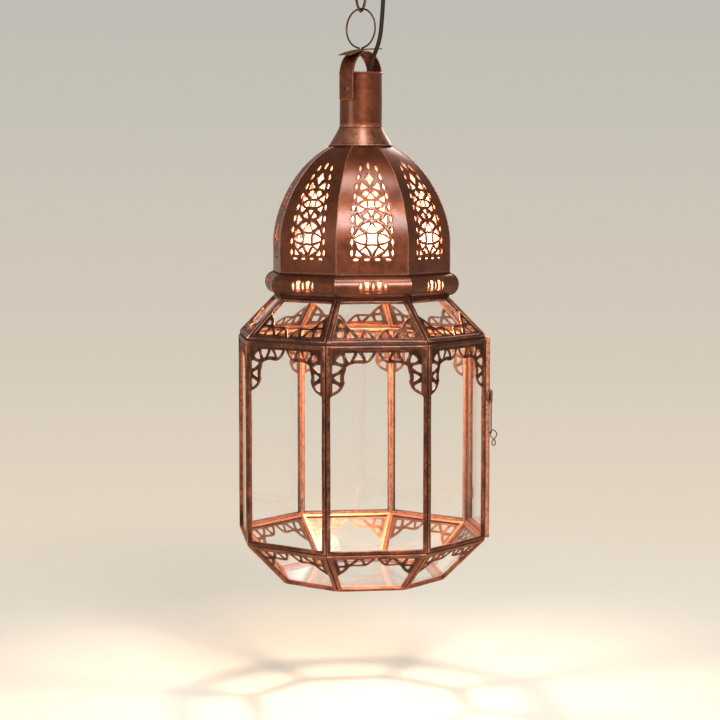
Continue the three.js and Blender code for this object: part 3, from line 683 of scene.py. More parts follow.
def cutwork(outline, holes, spacing, plain=()):
    """A sheet's flat pattern: points, triangles of metal and each point's distance from a cut.
    plain lists the outline's stretches that have no lip, as a test of each point."""
    loops = [np.asarray(outline, float)] + [np.asarray(hole, float) for hole in holes]
    points = []
    edges = []
    for loop in loops:
        start = len(points)
        points.extend(loop.tolist())
        edges.extend((start + i, start + (i + 1) % len(loop)) for i in range(len(loop)))

    def in_metal(some):
        kept = inside(some, loops[0])
        for hole in loops[1:]:
            kept &= ~inside(some, hole)
        return kept

    lips = []
    for loop in loops:
        run = np.roll(loop, -1, axis=0) - np.roll(loop, 1, axis=0)
        run /= np.maximum(np.linalg.norm(run, axis=1, keepdims=True), 1e-9)
        square = np.stack([run[:, 1], -run[:, 0]], axis=1)
        lips.extend([loop + square * LIP_AT, loop - square * LIP_AT])
    lips = np.vstack(lips)
    lips = lips[in_metal(lips) & (edge_distance(lips, loops) > 0.8 * LIP_AT)]
    low, high = loops[0].min(axis=0), loops[0].max(axis=0)
    columns = np.arange(low[0], high[0], spacing)
    rows = np.arange(low[1], high[1], spacing * 0.87)
    lattice = np.array([(x + spacing / 2 * (j % 2), y) for j, y in enumerate(rows) for x in columns])
    lattice = lattice[in_metal(lattice)]
    lattice = lattice[edge_distance(lattice, loops) > max(0.9, 0.45 * spacing)]
    everything = [Vector(p) for p in points + lips.tolist() + lattice.tolist()]
    verts, _, triangles, _, _, _ = delaunay_2d_cdt(everything, edges, [], 0, 1e-5)
    verts = np.array([tuple(v) for v in verts])
    triangles = np.array([t for t in triangles if len(t) == 3])
    triangles = triangles[in_metal(verts[triangles].mean(axis=1))]
    used, renumbered = np.unique(triangles, return_inverse=True)
    verts = verts[used]
    triangles = renumbered.reshape(-1, 3)
    near = edge_distance(verts, loops)
    for test in plain:
        near = np.where(test(verts), LIP[-1][0], near)
    return verts, triangles, near


def sheet_part(pattern, place, front, thick, lip=1.0):
    """The pattern as a solid sheet, laid by place(u, t, height) with a lip along its cuts. Its
    faces are of three kinds: the outer side, the inner side and the cut edges."""
    flat, triangles, near = pattern
    distances, rises = zip(*LIP)
    top = place(flat[:, 0], flat[:, 1], front + lip * np.interp(near, distances, rises))
    bottom = place(flat[:, 0], flat[:, 1], np.full(len(flat), front - thick))
    count = len(flat)
    faces = [tuple(t) for t in triangles]
    faces += [(a + count, c + count, b + count) for a, b, c in triangles]
    edges = {edge for a, b, c in triangles for edge in ((a, b), (b, c), (c, a))}
    cuts = [(b, a, a + count, b + count) for a, b in sorted(edges) if (b, a) not in edges]
    kinds = [0] * len(triangles) + [1] * len(triangles) + [2] * len(cuts)
    return np.vstack([top, bottom]), faces + cuts, kinds


# ---- Lace ----

# Half of each lace, as distance from the middle and depth from its bar. The scalloped edge
# runs from the middle to its tip on the came; bulges are how far an opening's sides swell.
TALL_EDGE = [(0, 3.4), (1.4, 6.4), (3.4, 9.6), (6.4, 13.0), (10.4, 15.2), (14.6, 15.8),
             (19.3, 15.2), (23.4, 15.6), (27.6, 17.0), (30.6, 18.8), (30.9, 21.2), (31.8, 24.2),
             (33.0, 28.4), (32.9, 31.8), (32.2, 34.2), (33.4, 37.6), (35.4, 41.2), (38.6, 44.4),
             (42.4, 46.6), (46.0, 48.4), (48.6, 52.4)]
TALL_OPENINGS = [
    ([(3.9, 4.4), (14.5, 4.4), (11.3, 11.9), (10.0, 12.3)], [0, -0.5, 0.1, 0.9]),
    ([(19.3, 4.2), (23.4, 11.8), (14.0, 11.8)], [-0.4, -0.3, 0.7]),
    ([(22.9, 4.4), (32.2, 4.6), (29.0, 13.2), (26.9, 13.2)], [0, 0.8, 0.2, 0.5]),
    ([(35.9, 6.6), (41.6, 12.4), (33.6, 15.3)], [0.5, 0.7, 0.9]),
    ([(45.0, 16.6), (35.4, 18.6), (37.2, 21.3), (45.0, 25.6)], [0.6, 0.5, 0.7, 0]),
    ([(43.8, 29.2), (36.6, 25.6), (36.6, 34.2)], [0.4, -0.4, 0.6]),
    ([(45.0, 34.6), (37.4, 38.3), (40.6, 42.2), (45.0, 44.4)], [0.5, 0.6, 0.3, 0]),
]

LOW_EDGE = [(0, 0.4), (2.6, 5.2), (6.2, 10.6), (9.8, 13.6), (17.8, 13.9), (22.7, 13.4), (25.9, 15.1),
            (28.9, 20.9), (33.1, 26.1), (38.5, 31.4)]
LOW_OPENINGS = [
    ([(34.4, 22.6), (36.6, 15.2), (30.2, 15.2)], [0.3, 0, 0.4]),
    ([(37.8, 12), (31, 12), (33.4, 2.8), (39.6, 3.2)], [0, 0.5, 0, 0.3]),
    ([(27.0, 10.8), (30.2, 2.2), (20.8, 2.2)], [0.4, 0, 0.6]),
    ([(23.2, 11.0), (12.8, 11.4), (16.4, 2.9), (17.4, 2.9)], [0, 0.5, 0, -0.4]),
    ([(10.0, 10.6), (12.9, 2.2), (4.8, 2.2)], [0.5, 0, 0.9]),
]

LACE_UNDER = 0.35            # how far the lace reaches under the came
LACE_RIBBON = 0.35           # how much its ribbons are widened into its openings
LACE_SINK = 0.05             # how far its front stands back from the facet's plane


def lace_pattern(facet, border, edge, openings, hangs):
    """The lace of one panel: hangs from its upper bar, or stands on the lower one."""
    def at_bar(depth):
        return facet.length - border - depth if hangs else border + depth

    scallop = smooth_path(edge, 60)
    under = border - LACE_UNDER
    tip = at_bar(edge[-1][1])
    half = [(x, at_bar(depth)) for x, depth in scallop if x < facet.inset_width(tip, border)]
    bar = at_bar(-LACE_UNDER)
    half += [(facet.inset_width(tip, under), tip), (facet.inset_width(bar, under), bar)]
    half = np.array(half)
    outline = np.vstack([half, mirrored(half)[:-1]])
    holes = []
    for corners, bulges in openings:
        hole = curved([(x, at_bar(depth)) for x, depth in corners], bulges)
        hole = shrunk(hole, LACE_RIBBON)
        holes.extend([hole, mirrored(hole)])
    under_came = [lambda p: facet.inset_width(p[:, 1], border) - abs(p[:, 0]) < 0.05]
    if hangs:
        under_came.append(lambda p: p[:, 1] > facet.length - border - 0.05)
    else:
        under_came.append(lambda p: p[:, 1] < border + 0.05)
    return cutwork(outline, holes, 1.5, under_came)


def add_laces():
    for name, facet, edge, openings, hangs, faces in (
            ("body_lace", BODY, TALL_EDGE, TALL_OPENINGS, True, FIXED_FACES),
            ("roof_lace", ROOF, LOW_EDGE, LOW_OPENINGS, False, FACES),
            ("base_lace", BASE, LOW_EDGE, LOW_OPENINGS, True, FACES)):
        pattern = lace_pattern(facet, CAME, edge, openings, hangs)
        for face in faces:
            part = sheet_part(pattern, facet.on(face), -LACE_SINK, LACE_THICK)
            build(f"{name}_{face}", [part], LACE_SHEET, sharp=CUT_SHARP)


# ---- Came frames ----


def bead(first, last, base, crown, count):
    """A slightly squared half round, from the distance first to last across a came."""
    half = (last - first) / 2
    return [(first + half - half * math.cos(a), base + crown * math.sin(a) ** 0.8)
            for a in np.linspace(0, math.pi, count)]


def came_profile(width, crown, base, depth, groove=0.85):
    """Across and out: a half-round bead on a flange, with the rebate for the pane behind it. The
    bead stands back from the panel's edge, so that two panels meet in a groove."""
    back = [(width, base - 0.35), (width - 0.1, -LACE_THICK - 0.1), (REBATE, -LACE_THICK - 0.15),
            (REBATE, -depth), (depth * LEAN + 0.1, -depth)]
    return bead(groove, width, base, crown, 13) + back + [(groove + 0.15, -1.9), (groove, -1.2)]


def came_loop(facet, face, profile, wobble=0.1, head_drop=0.0):
    """The profile swept round a panel's border and mitred at its corners, as if bent by hand."""
    steps = 14
    phases = [dice.uniform(0, 6.28) for _ in range(8)]
    rows = []
    for inset, height in profile:
        low, high = inset, facet.length - inset - head_drop
        corners = [(-facet.inset_width(low, inset), low), (facet.inset_width(low, inset), low),
                   (facet.inset_width(high, inset), high), (-facet.inset_width(high, inset), high)]
        loop = []
        for side in range(4):
            a, b = np.array(corners[side]), np.array(corners[(side + 1) % 4])
            for s in np.arange(steps) / steps:
                fade = math.sin(math.pi * s)
                sway = wobble * fade * math.sin(9 * s + phases[side])
                lift = wobble * fade * math.sin(13 * s + phases[side + 4])
                normal = np.array([-(b - a)[1], (b - a)[0]]) / np.linalg.norm(b - a)
                loop.append((*(a + (b - a) * s + normal * sway), height + lift))
        rows.append(loop)
    grid = np.array(rows)
    points = facet.place(face, grid[..., 0], grid[..., 1], grid[..., 2]).reshape(-1, 3)
    return points, grid_faces(len(profile), 4 * steps, wrap_rows=True, wrap_columns=True)


BEAD = came_profile(CAME, 1.25, -0.25, CAME_DEPTH)
FLAT_BEAD = came_profile(CAME, 0.1, -0.1, CAME_DEPTH)
EAVE_GAP = 1.7               # the gap under the roof, above the body's top bar; near-black solder fills it as a painted shadow


def add_cames():
    for name, facet, node in (("body_came", BODY, "body_frame"), ("roof_came", ROOF, "roof_frame"),
                              ("base_came", BASE, "base_frame")):
        for face in FACES:
            profile = FLAT_BEAD if facet is BODY and face == DOOR_FACE else BEAD
            loop = came_loop(facet, face, profile, head_drop=EAVE_GAP if facet is BODY else 0.0)
            # The base's cames take the lighter copper: painted light from the floor below.
            metal = UPLIT_BASE_COPPER if facet is BASE else CAME_COPPER
            build(f"{name}_{face}", [loop], metal, node if face == 0 else None)


def corner(out, z, edge, sink):
    """A point on the cage's corner line, sunk below the surface."""
    r = (out - sink) / math.cos(HALF_SECTOR)
    angle = -math.pi / 2 + HALF_SECTOR + edge * SECTOR
    return (r * math.cos(angle), r * math.sin(angle), z)


def uneven(path, radius, swell, sides, closed=False):
    """A line of solder whose thickness varies along it."""
    return tube(path, [radius + swell * dice.random() for _ in path], sides, closed)


def add_solder():
    """Dark solder in the grooves between the cames, a near-black ring filling the gap under the eave as a
    painted shadow, and a bright drop where the roof's ribs end.
    """
    sink = 2.1
    runs = []
    levels = [(BASE_OUT, BASE_FOOT + 1.2), (BODY_OUT, BODY_FOOT), (BODY_OUT, 0), (ROOF_OUT, ROOF_HEAD)]
    for edge in FACES:
        for low, high in zip(levels, levels[1:]):
            path = straight(corner(*low, edge, sink), corner(*high, edge, sink), 30)
            swell = [1.35 + 0.22 * math.sin(2.1 * i + edge) * dice.random() for i in range(len(path))]
            runs.append(tube(path, swell, 10))
    foot = [corner(BODY_OUT, BODY_FOOT, edge, sink) for edge in range(SIDES + 1)]
    path = np.vstack([straight(a, b, 20, endpoint=False) for a, b in zip(foot, foot[1:])])
    runs.append(uneven(path, 1.35, 0.2, 10, closed=True))
    # A near-black ring of solder fills the gap under the eave: a painted shadow.
    gap = [(-1.3, -EAVE_GAP - 1.4), (-1.1, 0.2), (-1.5, 1.0), (-3.0, 1.2), (-3.2, -EAVE_GAP - 1.4)]
    runs.append(octagon_ring(moved(gap, BODY_OUT, 0)))
    build("solder_runs_and_eave_shadow", runs, SOLDER_AND_SHADE)
    drops = []
    for edge in FACES:
        at = np.array(corner(ROOF_OUT, ROOF_HEAD + 0.2, edge, -0.6))
        points, faces = lathe([(0, 1.1), (0.9, 0.85), (1.35, 0.1), (1.05, -0.7), (0, -1.0)], 12)
        drops.append((points + at, faces))
    build("roof_solder_drops", drops, BEAD_METAL)


def add_rims():
    """The flat rims at the roof's head and round the floor pane."""
    foot, head = ROOF_HEAD - 1.1, CORNICE_FOOT - 0.25
    rim = moved([(1.9, 0.3), (2.1, (head - foot) / 2)], ROOF_OUT, foot)
    rim += moved([(1.9, 0), (-6.6, 0), (-6.9, -0.4)], ROOF_OUT, head)
    rim += moved([(-6.9, 0), (-6.6, -0.3), (1.4, -0.2)], ROOF_OUT, foot)
    # The roof's rim is near black: painted shade under the cornice.
    build("roof_rim", [octagon_ring(rim)], SHADED_RIM_COPPER)
    ledge = [(-0.4, 0.2), (-0.2, 2.1), (-1.8, 2.4), (-8, 2.4), (-8.3, 2.0), (-8.3, 0.5), (-7.9, 0), (-0.9, 0)]
    build("base_ledge", [octagon_ring(moved(ledge, BASE_OUT, BASE_FOOT))], CAME_COPPER)


add_laces()
add_cames()
add_solder()
add_rims()


# ---- Dome ----


def dome_out(z):
    climb = max(0.0, (z - DOME_SHOULDER) / DOME_RISE)
    return DOME_OUT * math.sqrt(max(0.0, 1 - climb**DOME_POWER))


DOME_HEIGHTS = np.linspace(DOME_FOOT, DOME_HEAD, 90)
GORE = Facet([(dome_out(z), z) for z in DOME_HEIGHTS], DOME_HEIGHTS)
CROWN = 0.7                  # how far a gore swells between its seams
BARE = 1.7                   # the width of the borders that have no lip

# The openings on a gore's middle line and beside it: corners, as distance from the middle and
# height, and how far the sides swell.
MIDDLE_OPENINGS = [
    ([(-5.0, 97.2), (5.0, 97.2), (5.0, 107.6), (-5.0, 107.6)], -0.8),
    ([(-3.1, 134.2), (3.1, 134.2), (3.1, 140.6), (-3.1, 140.6)], -0.45),
    ([(-5.1, 94.9), (5.1, 94.9), (0, 87.6)], [0.5, -0.5, -0.5]),
    ([(-5.0, 109.7), (5.0, 109.7), (0, 117.2)], [0.5, 0.5, 0.5]),
    ([(-2.9, 130.8), (2.9, 130.8), (0, 125.7)], [0.3, -0.2, -0.2]),
    ([(-3.8, 143.1), (3.8, 143.1), (0, 148.2)], [0.4, 0.3, 0.3]),
    ([(0, 156.6), (4.4, 162.6), (0, 169.0), (-4.4, 162.6)], [-0.3, -0.4, -0.4, -0.3]),
]
SIDE_OPENINGS = [
    ([(18.0, 101.7), (7.5, 106.9), (7.1, 98.4)], [0.7, 0.6, 0.7]),
    ([(15.9, 98.2), (7.8, 95.7), (13.2, 91.9)], [-0.6, 0.2, 0.4]),
    ([(6.7, 92.9), (11.2, 89.9), (2.9, 85.4)], [0.3, -0.5, 0.5]),
    ([(15.6, 91.1), (10.6, 85.8), (16.6, 85.6)], [-0.5, 0, 0.2]),
    ([(2.3, 118.8), (11.3, 114.3), (6.3, 110.8)], [0.9, -0.4, 0.5]),
    ([(13.2, 112.0), (17.6, 104.6), (9.0, 108.4)], [0.3, -0.6, -0.4]),
    ([(15.2, 126.9), (9.4, 121.1), (15.1, 115.4)], [-0.7, -0.7, 0.2]),
    ([(2.5, 122.8), (8.9, 125.4), (4.8, 128.4)], [0.8, -0.2, 0.5]),
    ([(10.9, 136.9), (4.8, 140.4), (4.8, 134.2)], [0.6, 0.4, 0.6]),
    ([(14.0, 135.6), (7.2, 132.5), (12.5, 129.3)], [-0.6, 0.2, 0.4]),
    ([(1.9, 148.7), (4.7, 150.7), (8.5, 146.9), (5.5, 144.2)], [0.2, 0.4, -0.2, 0.5]),
    ([(13.8, 145.4), (7.5, 141.6), (13.7, 138.8)], [0.4, -0.5, 0.1]),
    ([(8.0, 159.1), (2.4, 154.1), (9.9, 152.0)], [-0.4, 0.4, 0.6]),
]
# The ring of small ovals round the lattice: distance from the middle, height, lean.
BORDER = [(20.9, 88.3, 0.02), (20.7, 99.2, 0.03), (20.1, 111.1, 0.06), (19.3, 122.5, 0.10),
          (17.9, 134.0, 0.14), (16.2, 145.4, 0.20), (13.7, 154.9, 0.25), (11.1, 164.3, 0.28),
          (8.0, 173.2, 0.30)]
BORDER_FOOT = [(5.4, 81.8), (16.6, 81.8)]


def gore_holes():
    holes = [curved(corners, bulges) for corners, bulges in MIDDLE_OPENINGS]
    side = [curved(corners, bulges) for corners, bulges in SIDE_OPENINGS]
    side += [oval((u, z), 3.3, 1.1, lean) for u, z, lean in BORDER]
    side += [oval((u, z), 2.9, 0.78, math.pi / 2) for u, z in BORDER_FOOT]
    for hole in side:
        holes.extend([hole, mirrored(hole)])
    return holes + [oval((0, 175.6), 3.8, 1.35)]


def facet_outline(facet, steps, gap):
    t = np.linspace(facet.t[0], facet.t[-1], steps)
    right = np.stack([facet.half_width(t) - gap, t], axis=1)
    return np.vstack([right, mirrored(right)])


def bare_border(facet):
    """The tests for a facet's four borders, which have no lip."""
    low, high = facet.t[0] + BARE, facet.t[-1] - BARE
    return [lambda p: facet.half_width(p[:, 1]) - abs(p[:, 0]) < BARE,
            lambda p: (p[:, 1] < low) | (p[:, 1] > high)]


def add_dome():
    pattern = cutwork(facet_outline(GORE, 60, 0.12), gore_holes(), 2.3, bare_border(GORE))
    for face in FACES:
        def place(u, t, h, f=face):
            across = np.clip(np.abs(u) / GORE.half_width(t), 0, 1)
            return GORE.place(f, u, t, h + CROWN * (1 - across**2))

        part = sheet_part(pattern, place, 0, SHEET)
        build(f"dome_gore_{face}", [part], PIERCED_SHEET, f"dome_panel_{face}", sharp=CUT_SHARP)
    seams = [uneven([corner(dome_out(z), z, edge, 0.15) for z in DOME_HEIGHTS], 0.48, 0.12, 10)
             for edge in FACES]
    build("gore_seams", seams, SEAM_METAL)
    fillet = [(-1.6, 1.2), (-1.6, -0.9), (1.6, -0.75), (1.75, -0.3), (0.9, 0.2), (0.45, 1.1), (-0.3, 1.3)]
    build("dome_foot_solder", [octagon_ring(moved(fillet, DOME_OUT, DOME_FOOT))], SOLDER_AND_SHADE)


# ---- Cornice ----

CORNICE_MIDDLE = (CORNICE_FOOT + CORNICE_HEAD) / 2
CORNICE_HALF = (CORNICE_HEAD - CORNICE_FOOT) / 2
CORNICE_FACET = Facet(arc((CORNICE_SEAT, CORNICE_MIDDLE), CORNICE_BULGE, CORNICE_HALF,
                          -math.pi / 2, math.pi / 2, 41))


def add_cornice():
    middle = CORNICE_FACET.length / 2
    holes = [oval((u, middle), 5.6, 1.35) for u in (-12.6, 0, 12.6)]
    for u in (-6.3, 6.3):
        bone = moved([(-2.7, -5.3), (2.7, -5.3), (2.7, 5.3), (-2.7, 5.3)], u, middle)
        holes.append(curved(bone, [0.7, -0.8, 0.7, -0.8], steps=6))
    outline = facet_outline(CORNICE_FACET, 42, 0.1)
    pattern = cutwork(outline, holes, 2.0, bare_border(CORNICE_FACET))
    parts = [sheet_part(pattern, CORNICE_FACET.on(face), 0, SHEET) for face in FACES]
    build("cornice", parts, PIERCED_SHEET, "cornice_moulding", sharp=CUT_SHARP)
    seams = [uneven([corner(out, z, edge, 0.35) for out, z in CORNICE_FACET.profile], 0.62, 0.14, 8)
             for edge in FACES]
    build("cornice_seams", seams, SOLDER_AND_SHADE)
    fillet = [(-2.4, 1.2), (-2.6, -0.5), (0.6, -0.5), (0.9, -0.1), (0.5, 0.25), (-1.2, 0.3)]
    ring = octagon_ring(moved(fillet, CORNICE_SEAT, CORNICE_FOOT))
    build("cornice_foot_solder", [ring], SOLDER_AND_SHADE)


# ---- Neck, collar and bail ----


def add_neck():
    flare = []
    for climb in np.linspace(0, 1, 16):
        r = NECK_R + 0.5 + (COLLAR_R - NECK_R - 0.5) * (1 - climb) ** 1.12
        flare.append((r, COLLAR_FOOT + 1.2 + (COLLAR_HEAD - COLLAR_FOOT - 2.2) * climb))
    outer = moved([(0.4, 0), (0.9, 0.5), (0.6, 1.1)], COLLAR_R, COLLAR_FOOT) + flare
    outer += moved([(1.0, -0.7), (0.9, -0.1), (-0.3, 0)], NECK_R, COLLAR_HEAD)
    inner = moved(reversed(flare), -1.3, 0) + [(COLLAR_R - 1.4, COLLAR_FOOT)]
    seat = moved([(-2.8, -1.2), (0.2, -0.9), (1.0, -0.4), (0.8, 0.1), (-2.6, 0.2)], COLLAR_R, COLLAR_FOOT)
    build("collar_solder", [lathe(seat, 64, closed=True)], SOLDER_AND_SHADE)
    build("collar", [lathe(outer + inner, 96, closed=True)], LIT_COLLAR_COPPER, "neck_collar")
    rim = [(0, -2.6), (0.7, -1.7), (0.8, -0.8), (0.3, -0.1), (-0.9, 0), (-1.1, -0.4)]
    wall = [(NECK_R, z) for z in np.linspace(NECK_FOOT, NECK_HEAD - 3, 24)]
    lining = [(NECK_R - 1.1, z) for z in np.linspace(NECK_HEAD - 1, NECK_FOOT, 24)]
    points, faces = lathe(wall + moved(rim, NECK_R, NECK_HEAD) + lining, 96, closed=True)
    # The wall is slightly uneven, as it was hammered round.
    angle = np.arctan2(points[:, 1], points[:, 0])
    dent = 1 + 0.006 * np.sin(3 * angle + 0.06 * points[:, 2]) * np.sin(0.11 * points[:, 2])
    points[:, :2] *= dent[:, None]
    build("neck", [(points, faces)], COPPER, "neck_tube")
    across = (NECK_R + 0.15) * math.cos(NECK_SEAM_AT), (NECK_R + 0.15) * math.sin(NECK_SEAM_AT)
    seam = [(*across, z) for z in np.linspace(NECK_FOOT + 0.5, NECK_HEAD - 2.8, 20)]
    build("neck_seam", [tube(seam, 0.45, 8)], SEAM_METAL)


def bail_frame(u, s, h):
    """Along the arch, across the strap and out of it, to the lantern's axes."""
    leg = BAIL_SPRING - BAIL_FOOT
    arch = math.pi * BAIL_R
    s = np.asarray(s, float)
    angle = np.clip((s - leg) / BAIL_R, 0, math.pi)
    below = np.where(s < leg, leg - s, np.where(s > leg + arch, s - leg - arch, 0))
    x = (BAIL_R + h) * np.cos(angle)
    z = BAIL_SPRING + (BAIL_R + h) * np.sin(angle) - below
    return turned(np.stack([x, np.broadcast_to(u, x.shape), z], axis=-1).reshape(-1, 3), BAIL_TURN)


def add_bail():
    total = 2 * (BAIL_SPRING - BAIL_FOOT) + math.pi * BAIL_R
    half = BAIL_WIDTH / 2
    foot = [(half - 2.2, 0), (half - 0.6, 0.6), (half, 2.2)]
    side = [(half, z) for z in np.linspace(4, total - 4, 60)]
    right = np.array(foot + side + [(x, total - z) for x, z in reversed(foot)])
    outline = np.vstack([right, mirrored(right)])
    pattern = cutwork(outline, [circle(total / 2, BAIL_HOLE, BAIL_HOLE, 24)], 1.9)
    part = sheet_part(pattern, bail_frame, 0, BAIL_THICK, lip=0.6)
    build("bail", [part], [BAIL_COPPER] * 3, "bail_strap", sharp=CUT_SHARP)


def strip_place(u, t, h):
    """The cover strip lies on the arch, tilted along its length, its ends drooping."""
    along = t - STRIP_LENGTH / 2
    seat = BAIL_SPRING + (BAIL_R + 0.9) / math.cos(STRIP_TILT)
    x = along * math.cos(STRIP_TILT) - h * math.sin(STRIP_TILT)
    z = seat + along * math.sin(STRIP_TILT) + h * math.cos(STRIP_TILT) - STRIP_DROOP * along**2 + 0.25
    return turned(np.stack([x, u + 0 * x, z], axis=-1), BAIL_TURN)


def add_strip():
    half = BAIL_WIDTH / 2
    corners = [(-half, 0.6), (-half + 1.4, 0), (half - 2.4, 0.2), (half, 1.8)]
    corners += moved([(half - 0.2, -2), (half - 1.6, 0), (-half + 2.6, -0.3), (-half, -2.4)], 0, STRIP_LENGTH)
    hole = circle(STRIP_LENGTH / 2, 2.2, 3.2, 20)
    pattern = cutwork(curved(corners, 0.06, steps=6), [hole], 1.7)
    part = sheet_part(pattern, strip_place, 0.6, 0.9, lip=0.6)
    build("bail_top_strip", [part], [BAIL_COPPER] * 3, "bail_cover_strip", sharp=CUT_SHARP)


def add_rivets():
    profile = moved([(0, -0.9), (1.7, -0.9), (2.3, -0.4), (2.4, 0), (1.4, 0)], 0, NECK_R - 1.4)
    profile += moved([(1.4, 0), (3.6, 0), (3.6, 0.35), (2.8, 1.0), (1.4, 1.3), (0, 1.4)], 0, BAIL_R + 0.2)
    points, faces = lathe(profile, 28)
    lying = np.stack([points[:, 2], points[:, 1], RIVET_Z - points[:, 0]], axis=1)
    for name, angle in (("back", BAIL_TURN), ("front", BAIL_TURN + math.pi)):
        build(f"rivet_{name}", [(turned(lying, angle), faces)], BRONZE, f"bail_rivet_{name}")


add_dome()
add_cornice()
add_neck()
add_bail()
add_strip()
add_rivets()


# ---- Hanging gear and cord ----


def in_hang_plane(reach, z):
    return (reach * math.cos(HANG_TURN), reach * math.sin(HANG_TURN), z)


# Reach from the axis and height above the eave, from the cord grip's mouth to the lampholder.
CORD_ROUTE = [(33, 366.45), (33, 358), (33, 349), (32.2, 338), (30.9, 325), (28.8, 311), (25, 300),
              (19.6, 290), (14.8, 281), (10.4, 271), (6.6, 261), (3.6, 250), (1.4, 238), (0.3, 226),
              (0, 214), (0, 202), (0, 184.8)]
CORD_BENDS = (346, 300)      # the cord runs by the link above these heights and by the ring below them; add_cord turns them into points that nothing uses


def add_cord():
    route = smooth_path([in_hang_plane(reach, z) for reach, z in CORD_ROUTE], 110)
    piece = build("lamp_cord", [tube(route, CORD_R, 20)], CABLE, "cord", body=None)
    length = np.linalg.norm(np.diff(to_row(route), axis=0), axis=1).sum()
    start, end = [Vector(to_row((0, 0, z))) for z in CORD_BENDS]
    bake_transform(piece)
    to_row(route[0])
    to_row(route)


def add_ring():
    centre = RING_TOP - RING_WIRE - RING_R
    feet = [(5.4, 290.6), (4.6, 290.2), (2.2, 291), (1.4, 293.2), (1.4, 296.4), (2.4, 298.6)]
    count = 20
    step = 2 * math.pi / (count + 0.6)
    first = 0.8 * step - math.pi / 2
    loop = arc((0, centre), RING_WIDE, RING_R, first, first + (count - 1) * step, count)
    profile = feet + loop + [(-x, z) for x, z in reversed(feet)]
    path = smooth_path([in_hang_plane(x, z) for x, z in profile], 220)
    build("wire_ring", [tube(path, RING_WIRE, 14)], BRONZE, "hanging_ring", body="ring")


def add_link():
    across = HANG_TURN + math.pi / 2
    centre = (LINK_FOOT + LINK_HEAD) / 2
    half_high = (LINK_HEAD - LINK_FOOT) / 2
    path = []
    for a in np.linspace(0, 2 * math.pi, 90, endpoint=False):
        x = LINK_HALF * math.copysign(abs(math.cos(a)) ** 1.3, math.cos(a))
        path.append((x * math.cos(across), x * math.sin(across), centre + half_high * math.sin(a)))
    build("link", [tube(path, LINK_WIRE, 16, closed=True)], BRONZE, "chain_link", body="link")


def add_hook():
    centre = HOOK_FOOT + HOOK_R
    shank = [(0, CEILING - 2), (0, CANOPY_FOOT - 2), (-1.6, centre + HOOK_R + 1)]
    bend = arc((0, centre), HOOK_R, HOOK_R, 0.78 * math.pi, 2.2 * math.pi, 9)
    path = smooth_path([in_hang_plane(x, z) for x, z in shank + bend], 120)
    radius = np.interp(np.arange(120), [0, 112, 119], [HOOK_WIRE, HOOK_WIRE, 0.7 * HOOK_WIRE])
    build("hook", [tube(path, radius, 18)], BRONZE, "ceiling_hook", body="ceiling")


def add_canopy():
    foot, wall, top = CANOPY_FOOT, 1.2, CEILING - 0.1
    outer = moved([(3.0, 0), (3.6, -0.25), (20, -0.2), (38, 0.1)], 0, foot)
    outer += [(43 + 9 * math.sin(a), foot + 9.5 - 9.2 * math.cos(a)) for a in np.linspace(0.1, 1.45, 9)]
    outer += [(52.9, foot + 12), (54.2, foot + 20), (54.3, CEILING - 1.4), (CANOPY_R, CEILING - 1)]
    inner = [(r - wall, z + (wall if z < foot + 8 else 0.3)) for r, z in reversed(outer[2:-1])]
    profile = outer + [(CANOPY_R, top), (CANOPY_R - wall, top)] + inner + [(3.0, foot + wall)]
    canopy = lathe(profile, 96, closed=True)
    build("canopy", [canopy], CAME_COPPER, "ceiling_canopy", body="ceiling")


def add_ceiling_base():
    plate = [(0, 0), (9, 0), (19, 0), (29, 0), (39.6, 0), (40, -0.4), (40, -2.6), (39.6, -3), (6.9, -3),
             (6.5, -3.4), (6.5, -8.7), (6.2, -9), (2.5, -9), (2.5, -1.4), (0, -1.4)]
    parts = [lathe(moved(plate, 0, CEILING), 72)]
    build("ceiling_base", parts, BRONZE, "ceiling_plate", body="ceiling")


def add_grip():
    """The cord grip: a ribbed tapered relief on a collar that is seated in the canopy."""
    grip = [(0, 1.2), (2.35, 1.2), (2.5, 0.1), (3.3, 0), (3.9, 0.5)]
    for i in range(4):
        grip += moved([(4.1, 0), (3.6, 0.5), (3.6, 1.1), (4.1, 1.6)], 0.12 * i, 2 + 2.6 * i)
    grip = moved(grip + [(4.8, 13), (6.4, 17.4), (6.9, 18.4)], 0, HOOK_FOOT)
    grip += moved([(6.9, -0.8), (6.5, -0.4), (3.7, -0.4), (3.7, 1.6), (6.3, 1.6), (6.5, 2), (6.5, 4.2),
                   (6.1, 4.5), (0, 4.5)], 0, CANOPY_FOOT)
    parts = [lathe(grip, 40, centre=in_hang_plane(CORD_REACH, 0))]
    build("grip", parts, CABLE, "cord_grip", body="ceiling")


add_cord()
add_ring()
add_link()
add_hook()
add_canopy()
add_ceiling_base()
add_grip()


# ---- Door ----

HINGE_U = 53.5
HINGE_W = 2.4
HINGE_HEIGHTS = (35, 178)
KNUCKLE = 4.7                # half the height of the door's knuckle
OUTER = 10                   # half the height of the whole hinge
BARREL_R = 2.3
LEAF_FRONT = 4.8
STILE = 5.5
CLIP_U = -47.2
LATCH_BACK = 4.5
LATCH_FRONT = LATCH_BACK + 2.4
PULL_Z = -99.4


def at_door(points, faces, *kinds):
    """Sets a part that is in door axes (across, up from the body's foot, out) in its place."""
    across, up, out = np.asarray(points, float).T
    return (BODY.place(DOOR_FACE, across, up, out), faces, *kinds)


def door_box(low, high, edge):
    return at_door(*rounded_box(low, high, edge))


def on_hinge(profile, segments, closed=False):
    """A body of revolution about the hinge's line, in the door's part."""
    points, faces = lathe(profile, segments, closed=closed)
    x, y, z = points.T
    return at_door(np.stack([x + HINGE_U, z, HINGE_W - y], axis=1), faces)


